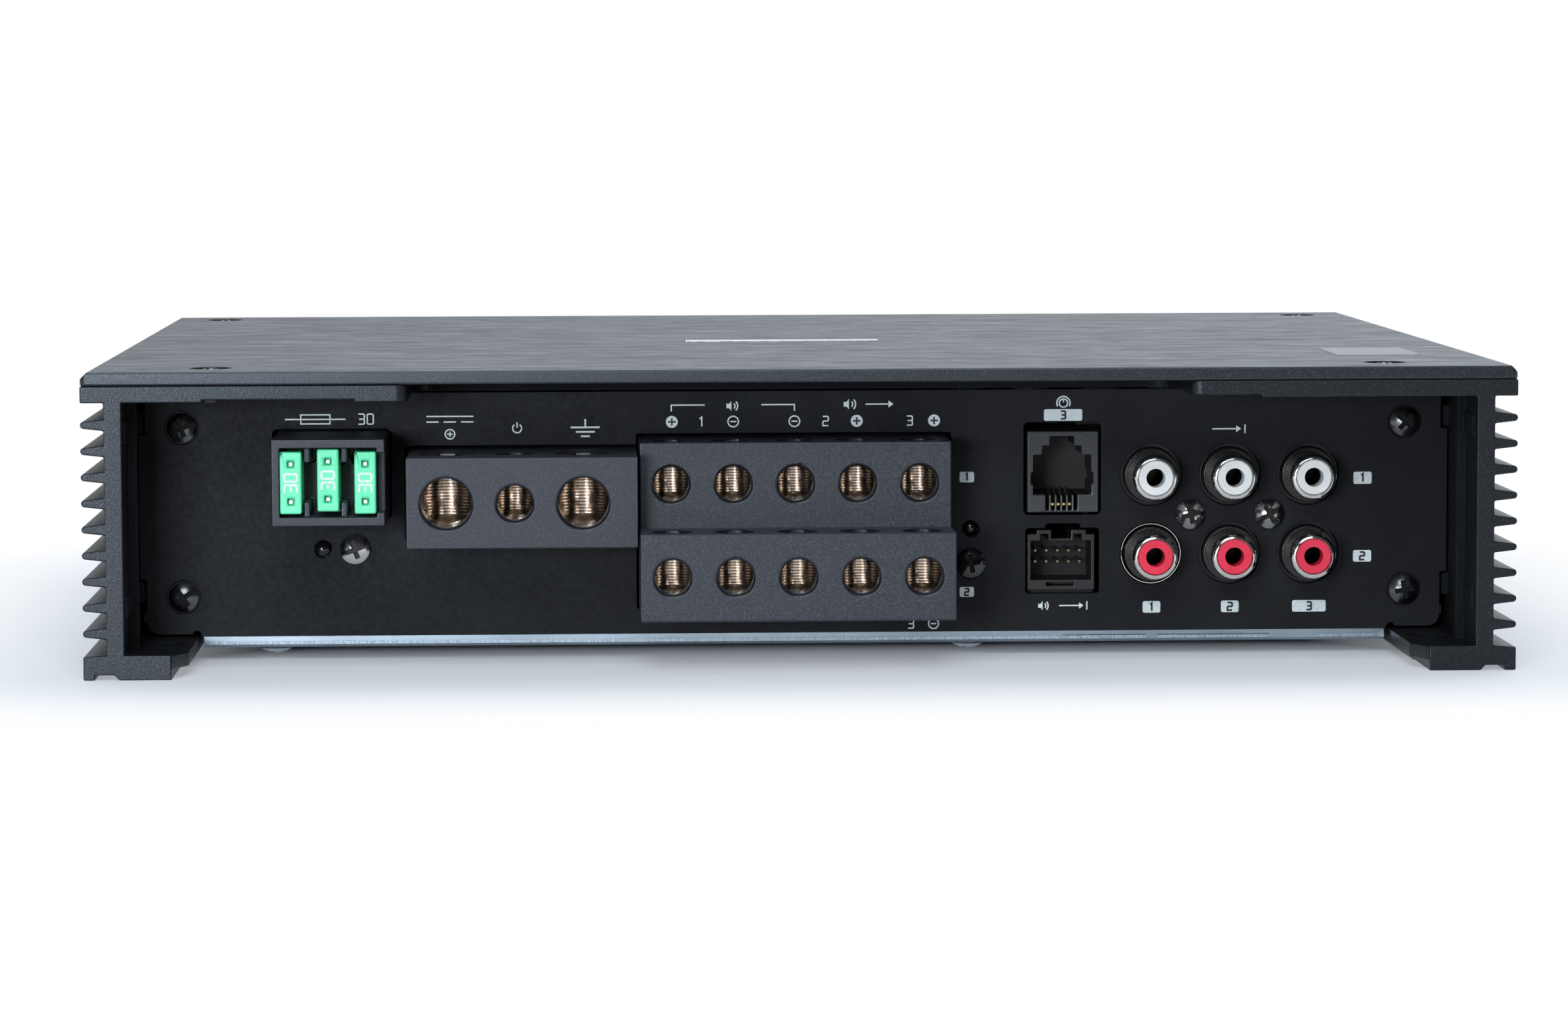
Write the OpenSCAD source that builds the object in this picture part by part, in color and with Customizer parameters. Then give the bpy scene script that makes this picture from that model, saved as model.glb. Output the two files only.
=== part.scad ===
// Car amplifier: finned chassis with a lift-off lid, a recessed terminal panel
// and all its connectors. Millimetres, Z up, terminals towards -Y, origin under
// the middle of the body.

/* [Body] */
// width over the fin tips
body_w = 250; // [246:1:280]
// depth from the terminal end to the rear end
body_d = 206; // [202:1:240]
// height from the floor to the top of the lid
body_h = 53.5; // [53:0.5:58]
// thickness of the lid
lid_t = 2.4; // [2:0.1:3]
// thickness of the chassis deck
deck_t = 2.9; // [2.5:0.1:3.2]

/* [Chassis sides] */
// number of cooling fins on a side
fin_count = 9; // [5:1:9]
// how far a fin stands out of the wall
fin_reach = 4; // [3:0.1:5]
// fin thickness at the wall
fin_root_t = 2.1; // [1.8:0.1:2.5]
// fin thickness at the rounded tip
fin_tip_t = 1.25; // [0.9:0.05:1.6]
// thickness of the side wall
wall_t = 3.15; // [2.6:0.05:3.3]

/* [Panels] */
// how far the two end panels stand back from the ends
recess = 29; // [28:0.5:31]
// sheet thickness of the end panels
panel_t = 1.5; // [1.2:0.1:1.8]

/* [Wire ports] */
// radius of the two large power ports
power_port_r = 4.4; // [4:0.1:4.4]
// radius of the remote wire port
remote_port_r = 3.1; // [2.7:0.1:3.2]
// radius of the speaker ports
speaker_port_r = 3.1; // [2.7:0.1:3.2]
// distance between the power ports
power_pitch = 12; // [11.8:0.1:12.4]
// distance between the speaker ports
speaker_pitch = 11; // [10.7:0.1:11.1]

/* [Inputs] */
// distance between the phono jacks
rca_pitch = 14.2; // [13.8:0.1:14.4]
// outer radius of a phono shell
rca_shell_r = 4.1; // [4:0.05:4.2]

/* [Fuses] */
// distance between the fuses
fuse_pitch = 6.5; // [6.3:0.1:6.6]

/* [Mounting] */
// diameter of the holes in the feet
mount_hole_d = 5; // [4:0.1:5.6]

/* [Hidden] */
$fn = 48;
// gap between pieces that sit in each other, and overlap of solids that are one piece
slack = 0.05;
lap = 0.5;
half_w = body_w / 2;
half_d = body_d / 2;
y_front = -half_d;
deck_top = body_h - lid_t;
deck_bot = deck_top - deck_t;
wall_root = half_w - fin_reach;
wall_in = wall_root - wall_t;
foot_t = 4.35;
foot_outer_t = 4.1;
foot_reach = 10.65;
foot_lip_x = wall_in - foot_reach;
foot_step = 2.6;
foot_step_z = 1.8;
foot_cut_y = 6;
groove_z = 0.9;
groove_out = 2.05;
groove_in = 5.4;
groove_slant = 0.76;
fin_low_z = 8.1;
fin_top_drop = 3.82;
fin_high_z = deck_bot - fin_top_drop;
fin_pitch = (fin_high_z - fin_low_z) / (fin_count - 1);
mount_inset = 5.35;
mount_x = wall_in - mount_inset;
mount_back = 18;
mount_y = half_d - mount_back;
mount_face_r = 3.7;
mount_face_z = 0.5;
driver_hole_r = 3.3;

// end panels and the bosses they are screwed to
y_panel = y_front + recess;
y_panel_back = y_panel + panel_t;
panel_gap = 0.25;
panel_half = wall_in - panel_gap;
panel_tab = 1.2;
tab_gap = 0.15;
panel_low_z = 4.75;
panel_mid_z = 4.4;
boss_inset = 8;
boss_x = wall_in - boss_inset;
boss_r = 2.9;
boss_len = 14;
boss_drop = 6.3;
boss_high_z = deck_bot - boss_drop;
boss_low_z = 11.46;
web_t = 3.8;
web_drop = 0.95;
tap_r = 1.3;
screw_len = 9;
rib_y = 11.5;
rib_t = 2;
rib_reach = 1.55;
pad_reach = 0.35;
pad_y = 3;
dimple_r = 3.05;
dimple_t = 0.4;

// row of connectors between the panel screws, from left to right: the gaps share
// the width that the groups leave
holder_w = 19.8;
power_w = 40.6;
block_gap = 0.35;
speaker_w = 55.2;
ear_w = 8.5;
jack_w = 12.7;
rca_block_edge = 7.4;
rca_block_w = 2 * (rca_pitch + rca_block_edge);
left_gap = 14.1;
fuse_gap = 3.65;
ear_gap = 6.2;
jack_gap = 2.25;
right_gap = 7.05;
row_half = boss_x - dimple_r;
row_w = holder_w + power_w + block_gap + speaker_w + ear_w + jack_w + rca_block_w;
gap_share = (2 * row_half - row_w) / (left_gap + fuse_gap + ear_gap + jack_gap + right_gap);
holder_x0 = -row_half + left_gap * gap_share;
power_x0 = holder_x0 + holder_w + fuse_gap * gap_share;
speaker_x0 = power_x0 + power_w + block_gap;
ear_x1 = speaker_x0 + speaker_w + ear_w;
jack_x = ear_x1 + ear_gap * gap_share;
rca_x0 = jack_x + jack_w + jack_gap * gap_share;

// screw heads and their cross recess
panel_head_r = 2.65;
panel_head_h = 1.8;
lid_head_r = 2.75;
lid_screw_len = 4.5;
cover_head_r = 2.9;
cover_head_h = 1.7;
cover_screw_len = 3.6;
cross_w = 0.9;
cross_len = 3.4;

// deck cut-outs
notch_inset = 0.65;
notch_left = power_x0 + notch_inset;
notch_over = 11.15;
notch_right = rca_x0 + notch_over;
relief_inset = 13.85;
relief_left_w = 26.3;
relief_far = wall_in - relief_inset;
relief_near = relief_far - relief_left_w;
relief_w = 12.3;
notch_r = 6;
notch_edge_r = 2;
relief_t = 0.45;
lid_edge = 1.2;
lid_front_edge = 0.2;
lid_low_edge = 0.3;
lid_corner_r = 1;
lid_front_side = 21.6;
lid_front_x = half_w - lid_front_side;
lid_front_in = 12.5;
lid_front_y = half_d - lid_front_in;
lid_back_side = 11.2;
lid_back_x = half_w - lid_back_side;
lid_back_in = 11.5;
lid_back_y = half_d - lid_back_in;
lid_bore_r = 3.8;
lid_bore_t = 1.5;
lid_hole_r = 1.8;
badge_w = 37;
badge_d = 3.6;
badge_t = 0.7;
badge_y = -8.5;
badge_sink = 0.4;

// bottom cover and main board
cover_gap = 0.9;
cover_half = foot_lip_x - cover_gap;
cover_z = 2.4;
cover_t = 1;
cover_lip_t = 0.95;
cover_lip_d = 3;
board_z = 6.8;
board_t = 1.6;
board_top = board_z + board_t;
board_gap = 0.8;
spacer_r = 3;
spacer_inset = 12.55;
spacer_pitch = (cover_half - spacer_inset) * 2 / 3;
spacer_x = [-1.5, 0.5, -1.5, 0.5, -0.5, 1.5] * spacer_pitch;
spacer_y = [1, 1, -1, -1, 0, 0];
spacer_edge = 6.5;
cover_strips = [[0.7 - cover_half, -48.9], [-48.3, 47.3], [48.1, 63], [65.2, 85.5],
                [93.9, cover_half - 1.6]];
cover_strip_z = 2.95;
cover_strip_h = 0.55;
cover_strip_out = 0.2;
cover_grooves = [[48.1, 63], [65.2, 85.5]];
cover_groove_h = 0.2;
cover_groove_d = 0.6;
cover_bend = 0.5;

// fuse holder
fuse_x = holder_x0 + holder_w / 2;
fuse_z = 33.5;
holder_h = 15.25;
holder_out = 20.5;
block_in = 12;
holder_front = y_panel - holder_out;
holder_back = y_panel + block_in;
pocket_w = 16.9;
pocket_h = 12.1;
pocket_d = 9.8;
holder_floor = 2.2;
guide_t = 1.1;
guide_low = 2.2;
fuse_t = 3.8;
fuse_w = 10.9;
fuse_d = 8.9;
fuse_proud = 0.4;
fuse_edge = 0.4;
fuse_test = 1.3;
fuse_test_z = 3.3;
blade_t = 0.8;
blade_w = 2.8;
blade_len = 7;
blade_z = 3.6;
middle_fuse_up = 0.45;
clip_gap = 0.35;
clip_t = 0.5;
holder_screw_in = 13.55;
holder_peg_in = 7.85;
holder_screw_x = holder_x0 + holder_screw_in;
holder_peg_x = holder_x0 + holder_peg_in;
holder_screw_z = 20;
peg_r = 1.3;
peg_dome = 0.6;

// power block
power_shift = 1.25;
power_ports_x = power_x0 + power_w / 2 - power_shift;
power_low = 21.85;
power_high = 37.85;
power_z = 29.8;
power_out = 22;
power_front = y_panel - power_out;
power_back = y_panel + block_in;
power_drop = 10;
power_insert_w = 11.2;
power_insert_d = 14;
power_thread = 0.56;
power_screw_len = 3.2;
remote_insert_w = 8.6;
port_lip = 3;
port_edge = 0.4;
insert_wall = 2;
insert_floor = 1.4;
thread_crest = 0.4;
thread_flank = 60;
thread_low = 0.68;
thread_gap = 0.4;
driver_gap = 0.45;
clamp_clear = 0.3;
hex_t = 1.8;
power_hex_r = 2.6;
small_hex_r = 1.5;

// speaker block
speaker_x = speaker_x0 + speaker_w / 2;
upper_out = 14.5;
lower_out = 27.5;
upper_front = y_panel - upper_out;
lower_front = y_panel - lower_out;
upper_low = 24.6;
upper_high = 39.7;
lower_low = 9.3;
upper_z = 32.4;
lower_z = 17.1;
upper_drop = 6.8;
lower_drop = 6;
speaker_back = y_panel + block_in;
speaker_insert_w = 8.8;
speaker_insert_d = 12;
small_thread = 0.5;
small_screw_len = 3.4;
block_foot_w = 6;
ear_edge = 4;
speaker_ear_x = ear_x1 - ear_edge;
speaker_screw_z = 16.8;
speaker_peg_z = 22.85;

// modular jack and pin socket
jack_low = 25.8;
jack_h = 14.65;
jack_out = 0.4;
jack_front = y_panel - jack_out;
jack_d = 16;
jack_room = 12;
jack_pitch = 1.02;
jack_wire_r = 0.24;
jack_wire_len = 10.5;
jack_wire_x = 6.15;
jack_groove_d = 11.3;
jack_leg_w = 1.4;
jack_lip = 3.2;
jack_room_x = 1.05;
jack_room_w = 10.5;
jack_room_drop = 4.25;
jack_wing_x = 0.65;
jack_wing_z = 5.1;
jack_wing_w = 11.3;
jack_wing_h = 2.1;
jack_key_x = 2.65;
jack_key_w = 7.15;
jack_key_drop = 2.6;
jack_latch_x = 4;
jack_latch_w = 4.45;
jack_latch_drop = 0.9;
socket_shift = 0.1;
socket_x = jack_x + socket_shift;
socket_w = 12.1;
socket_low = 11.8;
socket_h = 9.95;
socket_in = 0.6;
socket_front = y_panel + socket_in;
socket_d = 13;
socket_room = 9;
socket_wall = 0.6;
socket_key_h = 0.8;
socket_key_x = [1.7, 7.9];
socket_key_w = [2.6, 2.65];
socket_dip = [4.3, 7.9];
socket_slot_x = [2.3, 8.3];
socket_slot_w = 1.5;
socket_foot_x = [3.4, 8.3];
pin_x = 5.6;
pin_in = 2.2;
pin_out = 1.5;
pin_pitch = 2;
pin_side = 0.36;
pin_z = 17.65;

// phono jacks
rca_x = rca_x0 + rca_block_w / 2;
rca_z = 25.35;
rca_dish_r = 5.6;
rca_out = 8;
rca_front = y_panel - rca_out;
rca_collar_r = 4.9;
rca_collar_t = 1.5;
rca_wall = 1;
rca_round = 0.95;
rca_insert_r = rca_shell_r - rca_wall - slack;
rca_hole_r = 1.7;
rca_tail = 6;
rca_tail_step = 0.5;
rca_contact_r = 2;
rca_contact_in = 4;
rca_contact_d = 4;
rca_contact_out = 1.5;
rca_block_d = 13;
rca_screw_x = 7.15;
ring_in_r = 5.2;
ring_out_r = 5.5;

// controls on their own board under the deck
control_in = 55;
control_y = y_front + control_in;
control_drop = 9.8;
control_board_z = deck_bot - control_drop;
control_board_t = 1.6;
control_top = control_board_z + control_board_t;
control_w = 81.5;
control_inset = 11.35;
control_right = wall_in - control_inset;
control_left = control_right - control_w;
knob_first = 7;
knob_pitch = 12.5;
knob_x = [for (i = [0 : 4]) control_left + knob_first + i * knob_pitch];
switch_first = 67.3;
switch_pitch = 9.7;
switch_x = [for (i = [0, 1]) control_left + switch_first + i * switch_pitch];
knob_r = 3.4;
knob_gap = 0.6;
knob_lift = 6.3;
knob_top = deck_top - knob_gap;
knob_low = control_top + knob_lift;
knob_hole_r = 4.1;
trimmer_w = 9.4;
trimmer_h = 6;
stem_r = 1.4;
switch_w = 8.4;
switch_d = 4.4;
switch_h = 5;
slider_w = 2.2;
slider_d = 1.6;
slider_slot = 7.2;
slider_slot_d = 2.8;
control_half = 9;
control_post_r = 2;
control_post_x = 2.5;
control_post_y = 2.1;
link_in = 35;
link_x = control_left + link_in;
link_w = 22;

// parts on the board
coil_round = 3;
transformer_x = -60;
transformer_y = -10;
transformer_r = 23;
transformer_section = 13;
transformer_h = 22;
choke_x = -66;
choke_y = 44;
choke_r = 16;
choke_section = 9;
choke_h = 16;
can_r = 8;
can_h = 30;
can_pitch = 20;
can_y = [-20, 2];
coil_w = 18;
coil_h = 14;
coil_pitch = 24;
coil_first_x = -14;
coil_y = 36;
transistor_w = 10;
transistor_t = 4.5;
transistor_h = 15;
transistor_z = 17;
transistor_pitch = 17;
clamp_t = 2.5;
clamp_h = 5;

// block between two corners
module box(x0, x1, y0, y1, z0, z1) {
    translate([x0, y0, z0]) cube([x1 - x0, y1 - y0, z1 - z0]);
}

// round bar along Y
module rod(x, z, r, y0, y1) {
    translate([x, y1, z]) rotate([90, 0, 0]) cylinder(r = r, h = y1 - y0);
}

// upright round bar
module post(x, y, r, z0, z1) {
    translate([x, y, z0]) cylinder(r = r, h = z1 - z0);
}

// flat drawing in X and Z given a thickness along Y
module plate(y0, y1) {
    translate([0, y1, 0]) rotate([90, 0, 0]) linear_extrude(y1 - y0) children();
}

// flat rectangle with round corners
module round_rect(x0, x1, z0, z1, r) {
    translate([x0 + r, z0]) square([x1 - x0 - 2 * r, z1 - z0]);
    translate([x0, z0 + r]) square([x1 - x0, z1 - z0 - 2 * r]);
    for (x = [x0 + r, x1 - r], z = [z0 + r, z1 - r]) translate([x, z]) circle(r);
}

// part of the chassis repeated on the other side and at the rear end
module both_sides() {
    children();
    mirror([1, 0, 0]) children();
}

module both_ends() {
    children();
    mirror([0, 1, 0]) children();
}

// dome head screw, head up, its seat at the origin
module dome_screw(head_r, head_h, shank_r, shank_len, turn) {
    sag = 0.6 * head_h;
    ball_r = (head_r * head_r + sag * sag) / (2 * sag);
    cross_h = 0.55 * head_h;
    rotate([0, 0, turn]) difference() {
        union() {
            intersection() {
                cylinder(r = head_r, h = head_h);
                translate([0, 0, head_h - ball_r]) sphere(ball_r);
            }
            translate([0, 0, -shank_len]) cylinder(r = shank_r, h = shank_len);
        }
        box(-cross_len / 2, cross_len / 2, -cross_w / 2, cross_w / 2, head_h - cross_h, head_h + 1);
        box(-cross_w / 2, cross_w / 2, -cross_len / 2, cross_len / 2, head_h - cross_h, head_h + 1);
    }
}

// screw of a panel, head towards -Y
module panel_screw(x, y, z, turn) {
    translate([x, y, z]) rotate([90, 0, 0])
        dome_screw(panel_head_r, panel_head_h, tap_r - slack, screw_len, turn);
}

// locating peg of a block in the panel, its domed end towards -Y
module peg(x, z, y0) {
    long = y_panel_back + 1 - y0;
    ball_r = (peg_r * peg_r + peg_dome * peg_dome) / (2 * peg_dome);
    translate([x, y_panel_back + 1, z]) rotate([90, 0, 0]) {
        cylinder(r = peg_r, h = long - peg_dome);
        intersection() {
            cylinder(r = peg_r, h = long);
            translate([0, 0, long - ball_r]) sphere(ball_r);
        }
    }
}

// one side of the chassis seen from its end
module side_outline() {
    tip_r = fin_tip_t / 2;
    tip_x = half_w - tip_r;
    translate([0, deck_bot]) square([half_w, deck_t]);
    translate([wall_in, foot_t - 1]) square([wall_t, deck_bot - foot_t + 1.5]);
    for (i = [0 : fin_count - 1]) translate([0, fin_low_z + i * fin_pitch]) {
        polygon([[wall_root - 0.5, -fin_root_t / 2], [tip_x, -tip_r],
                 [tip_x, tip_r], [wall_root - 0.5, fin_root_t / 2]]);
        translate([tip_x, 0]) circle(tip_r);
    }
    polygon([[foot_lip_x + foot_step, 0], [half_w - groove_in - groove_slant, 0],
             [half_w - groove_in, groove_z], [half_w - groove_out, groove_z],
             [half_w - groove_out, 0], [half_w, 0], [half_w, foot_outer_t],
             [wall_root, foot_t], [foot_lip_x, foot_t], [foot_lip_x, foot_step_z],
             [foot_lip_x + foot_step, foot_step_z]]);
}

// boss for a panel screw, with the web that joins it to the wall
module panel_boss(z) {
    y_end = y_panel_back + boss_len;
    difference() {
        union() {
            rod(boss_x, z, boss_r, y_panel_back, y_end);
            box(boss_x, wall_in + lap, y_panel_back, y_end, z - web_drop, z - web_drop + web_t);
            box(wall_in - panel_tab + tab_gap, wall_in + lap, y_panel, y_panel_back + lap,
                z - web_drop, z - web_drop + web_t);
        }
        rod(boss_x, z, tap_r, y_panel_back - 1, y_panel_back + screw_len + 1);
    }
}

// rib and pads on the wall in front of a panel
module wall_rib() {
    box(wall_in - rib_reach, wall_in + lap, y_front + rib_y, y_front + rib_y + rib_t,
        foot_t - lap, deck_bot + lap);
    for (z = [boss_low_z, boss_high_z])
        box(wall_in - pad_reach, wall_in + lap, y_front + pad_y, y_front + rib_y + lap,
            z - web_drop, z - web_drop + web_t);
}

// opening in the front of the deck above the clamp screws, seen from above
module deck_notch() {
    y_end = y_panel + 0.5;
    round_rect(notch_left, notch_right, y_front + 2, y_end, notch_r);
    translate([notch_left, y_front - 1]) square([notch_right - notch_left, notch_r + 4]);
    for (s = [-1, 1]) translate([s < 0 ? notch_left : notch_right, y_front]) difference() {
        translate([s < 0 ? -notch_edge_r : -0.5, -1]) square([notch_edge_r + 0.5, notch_edge_r + 1]);
        translate([s * notch_edge_r, notch_edge_r]) circle(notch_edge_r);
    }
}

module chassis() {
    color([0.17, 0.17, 0.18]) difference() {
        union() {
            both_sides() {
                plate(y_front, -y_front) side_outline();
                both_ends() {
                    panel_boss(boss_low_z);
                    panel_boss(boss_high_z);
                    wall_rib();
                }
            }
            for (x = [control_left + control_post_x, control_right - control_post_x])
                for (y = [-1, 1] * (control_half - control_post_y))
                    post(x, control_y + y, control_post_r, control_top, deck_bot + lap);
        }
        both_sides() both_ends() {
            translate([0, 0, -1]) linear_extrude(foot_t + 2)
                polygon([[foot_lip_x - 1, y_front - 1], [foot_lip_x + foot_step, y_front - 1],
                         [foot_lip_x + foot_step, y_front], [foot_lip_x, y_front + foot_cut_y],
                         [foot_lip_x - 1, y_front + foot_cut_y]]);
            post(mount_x, -mount_y, mount_hole_d / 2, -1, foot_t + 1);
            post(mount_x, -mount_y, mount_face_r, foot_t - mount_face_z, foot_t + 1);
            post(mount_x, -mount_y, driver_hole_r, deck_bot - 1, deck_top + 1);
        }
        translate([0, 0, deck_bot - 0.5]) linear_extrude(deck_t + 1) deck_notch();
        box(-relief_far, -relief_near, y_front - 1, y_panel, deck_bot - 1, deck_bot + relief_t);
        box(notch_right - 1, notch_right + relief_w, y_front - 1, y_panel, deck_bot - 1,
            deck_bot + relief_t);
        both_sides() {
            post(lid_front_x, -lid_front_y, tap_r, deck_bot - 1, deck_top + 1);
            post(lid_back_x, lid_back_y, tap_r, deck_bot - 1, deck_top + 1);
        }
        for (x = knob_x) post(x, control_y, knob_hole_r, deck_bot - 1, deck_top + 1);
        for (x = switch_x)
            box(x - slider_slot / 2, x + slider_slot / 2, control_y - slider_slot_d / 2,
                control_y + slider_slot_d / 2, deck_bot - 1, deck_top + 1);
    }
}

// cross section of the lid with its bevelled edges
module lid_section(half, edge) {
    polygon([[-half + lid_low_edge, 0], [half - lid_low_edge, 0], [half, lid_low_edge],
             [half, lid_t - edge], [half - edge, lid_t], [-half + edge, lid_t],
             [-half, lid_t - edge], [-half, lid_low_edge]]);
}

module lid_hole(x, y) {
    post(x, y, lid_hole_r, deck_top - 1, body_h + 1);
    post(x, y, lid_bore_r, body_h - lid_bore_t, body_h + 1);
}

module lid() {
    color([0.22, 0.22, 0.23]) difference() {
        translate([0, 0, deck_top]) intersection() {
            plate(-half_d, half_d) lid_section(half_w, lid_edge);
            rotate([0, 0, 90]) plate(-half_w, half_w) lid_section(half_d, lid_front_edge);
            translate([0, 0, -1]) linear_extrude(lid_t + 2)
                round_rect(-half_w, half_w, -half_d, half_d, lid_corner_r);
        }
        both_sides() {
            lid_hole(lid_front_x, -lid_front_y);
            lid_hole(lid_back_x, lid_back_y);
        }
        box(-badge_w / 2 - slack, badge_w / 2 + slack, badge_y - badge_d / 2 - slack,
            badge_y + badge_d / 2 + slack, body_h - badge_sink, body_h + 1);
    }
}

module lid_screws() {
    color([0.7, 0.7, 0.72]) both_sides() {
        translate([lid_front_x, -lid_front_y, body_h - lid_bore_t])
            dome_screw(lid_head_r, lid_bore_t, tap_r - slack, lid_screw_len, 30);
        translate([lid_back_x, lid_back_y, body_h - lid_bore_t])
            dome_screw(lid_head_r, lid_bore_t, tap_r - slack, lid_screw_len, 65);
    }
}

module lid_badge() {
    color([0.75, 0.75, 0.77])
        box(-badge_w / 2, badge_w / 2, badge_y - badge_d / 2, badge_y + badge_d / 2,
            body_h - badge_sink, body_h - badge_sink + badge_t);
}

// half of the outline of an end panel
module panel_half_outline() {
    top = deck_bot - 0.2;
    high = boss_high_z - web_drop;
    low = boss_low_z - web_drop;
    corner = 2.2;
    narrow = panel_half - panel_tab;
    difference() {
        union() {
            translate([0, panel_low_z]) square([narrow - corner, top - panel_low_z]);
            translate([0, panel_mid_z]) square([cover_half + 0.4, top - panel_mid_z]);
            translate([0, panel_low_z + corner]) square([narrow, top - panel_low_z - corner]);
            translate([narrow - corner, panel_low_z + corner]) circle(corner);
            translate([narrow - 1, low + web_t + 0.3])
                square([panel_tab + 1, high - low - web_t - 0.6]);
        }
        translate([cover_half + 1.2, panel_low_z]) circle(0.7);
    }
}

module panel_outline() {
    panel_half_outline();
    mirror([1, 0]) panel_half_outline();
}

module corner_holes(r) {
    for (x = [-boss_x, boss_x], z = [boss_low_z, boss_high_z]) translate([x, z]) circle(r);
}

// everything that shows through the terminal panel, seen from the front
module terminal_openings() {
    grow = 0.4;
    round_rect(holder_x0 - 1, holder_x0 + holder_w + grow,
               fuse_z - holder_h / 2 - grow, fuse_z + holder_h / 2 + grow, 1);
    round_rect(power_x0 - 0.9, power_x0 + power_w + 1,
               power_low - grow, power_high + 0.6, 0.3);
    round_rect(speaker_x0 - grow, speaker_x0 + speaker_w + 0.9,
               lower_low - grow, upper_high + 0.7, 0.3);
    round_rect(jack_x - 0.65, jack_x + jack_w + 0.6, jack_low - 0.45, jack_low + jack_h + 1.6, 0.9);
    round_rect(socket_x - 0.4, socket_x + socket_w + 0.8, socket_low - 0.7,
               socket_low + socket_h + 1.2, 0.6);
    round_rect(socket_x + 3.2, socket_x + 9.5, socket_low + 2, socket_low + socket_h + 2, 0.5);
    for (i = [-1 : 1], s = [-1, 1])
        translate([rca_x + i * rca_pitch, rca_z + s * rca_pitch / 2]) circle(rca_dish_r);
    for (s = [-1, 1]) translate([rca_x + s * rca_screw_x, rca_z]) circle(tap_r + 0.2);
    translate([holder_screw_x, holder_screw_z]) circle(tap_r + 0.2);
    translate([holder_peg_x, holder_screw_z]) circle(peg_r + 0.3);
    translate([speaker_ear_x, speaker_screw_z]) circle(tap_r + 0.2);
    translate([speaker_ear_x, speaker_peg_z]) circle(peg_r + 0.3);
}

module terminal_panel() {
    color([0.07, 0.07, 0.08]) difference() {
        plate(y_panel, y_panel_back) difference() {
            panel_outline();
            terminal_openings();
            corner_holes(tap_r + 0.2);
        }
        plate(y_panel - 1, y_panel + dimple_t) corner_holes(dimple_r);
    }
}

module rear_panel() {
    color([0.07, 0.07, 0.08]) mirror([0, 1, 0]) difference() {
        plate(y_panel, y_panel_back) difference() {
            panel_outline();
            corner_holes(tap_r + 0.2);
        }
        plate(y_panel - 1, y_panel + dimple_t) corner_holes(dimple_r);
    }
}

module panel_screws() {
    y = y_panel + dimple_t;
    color([0.1, 0.1, 0.1]) {
        panel_screw(-boss_x, y, boss_high_z, 20);
        panel_screw(boss_x, y, boss_high_z, 50);
        panel_screw(-boss_x, y, boss_low_z, 35);
        panel_screw(boss_x, y, boss_low_z, 10);
        mirror([0, 1, 0]) {
            panel_screw(-boss_x, y, boss_high_z, 40);
            panel_screw(boss_x, y, boss_high_z, 15);
            panel_screw(-boss_x, y, boss_low_z, 70);
            panel_screw(boss_x, y, boss_low_z, 25);
        }
    }
}

// places of the board spacers, one after the other
module at_spacers() {
    for (i = [0 : len(spacer_x) - 1])
        translate([spacer_x[i], -spacer_y[i] * (half_d - recess - spacer_edge), 0]) children();
}

// sheet with a lip at each end, a sheared strip along the lip and a slanted lower bend
module bottom_cover() {
    z_top = cover_z + cover_t;
    z_strip = cover_strip_z + cover_strip_h;
    color([0.62, 0.66, 0.72]) difference() {
        union() {
            box(-cover_half, cover_half, y_panel, -y_panel, cover_z, z_top);
            both_ends() {
                box(-cover_half, cover_half, y_panel, y_panel + cover_lip_d, z_top, z_top + cover_lip_t);
                for (x = cover_strips)
                    box(x[0], x[1], y_panel - cover_strip_out, y_panel + 1, cover_strip_z, z_strip);
            }
        }
        both_ends() {
            for (x = cover_grooves)
                box(x[0], x[1], y_panel - 1, y_panel + cover_groove_d, z_strip, z_strip + cover_groove_h);
            translate([0, y_panel, cover_z]) rotate([45, 0, 0])
                cube([body_w, cover_bend * sqrt(2), cover_bend * sqrt(2)], center = true);
        }
        at_spacers() translate([0, 0, cover_z - 1]) cylinder(r = tap_r + 0.2, h = cover_t + 2);
    }
}

module bottom_screws() {
    color([0.6, 0.62, 0.66]) at_spacers() translate([0, 0, cover_z]) rotate([180, 0, 0])
        dome_screw(cover_head_r, cover_head_h, tap_r - slack, cover_screw_len, 25);
}

module board_spacers() {
    color([0.72, 0.62, 0.4]) at_spacers() translate([0, 0, cover_z + cover_t]) difference() {
        cylinder(r = spacer_r, h = board_z - cover_z - cover_t, $fn = 6);
        translate([0, 0, -1]) cylinder(r = tap_r, h = board_z);
    }
}

module main_board() {
    x = wall_in - board_gap;
    y = y_panel_back + 0.5;
    color([0.06, 0.3, 0.16]) box(-x, x, y, -y, board_z, board_top);
}

// distance of a fuse from the middle one
function fuse_offset(i) = (i - 2) * fuse_pitch;

function fuse_rise(i) = i == 2 ? middle_fuse_up : 0;

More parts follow.
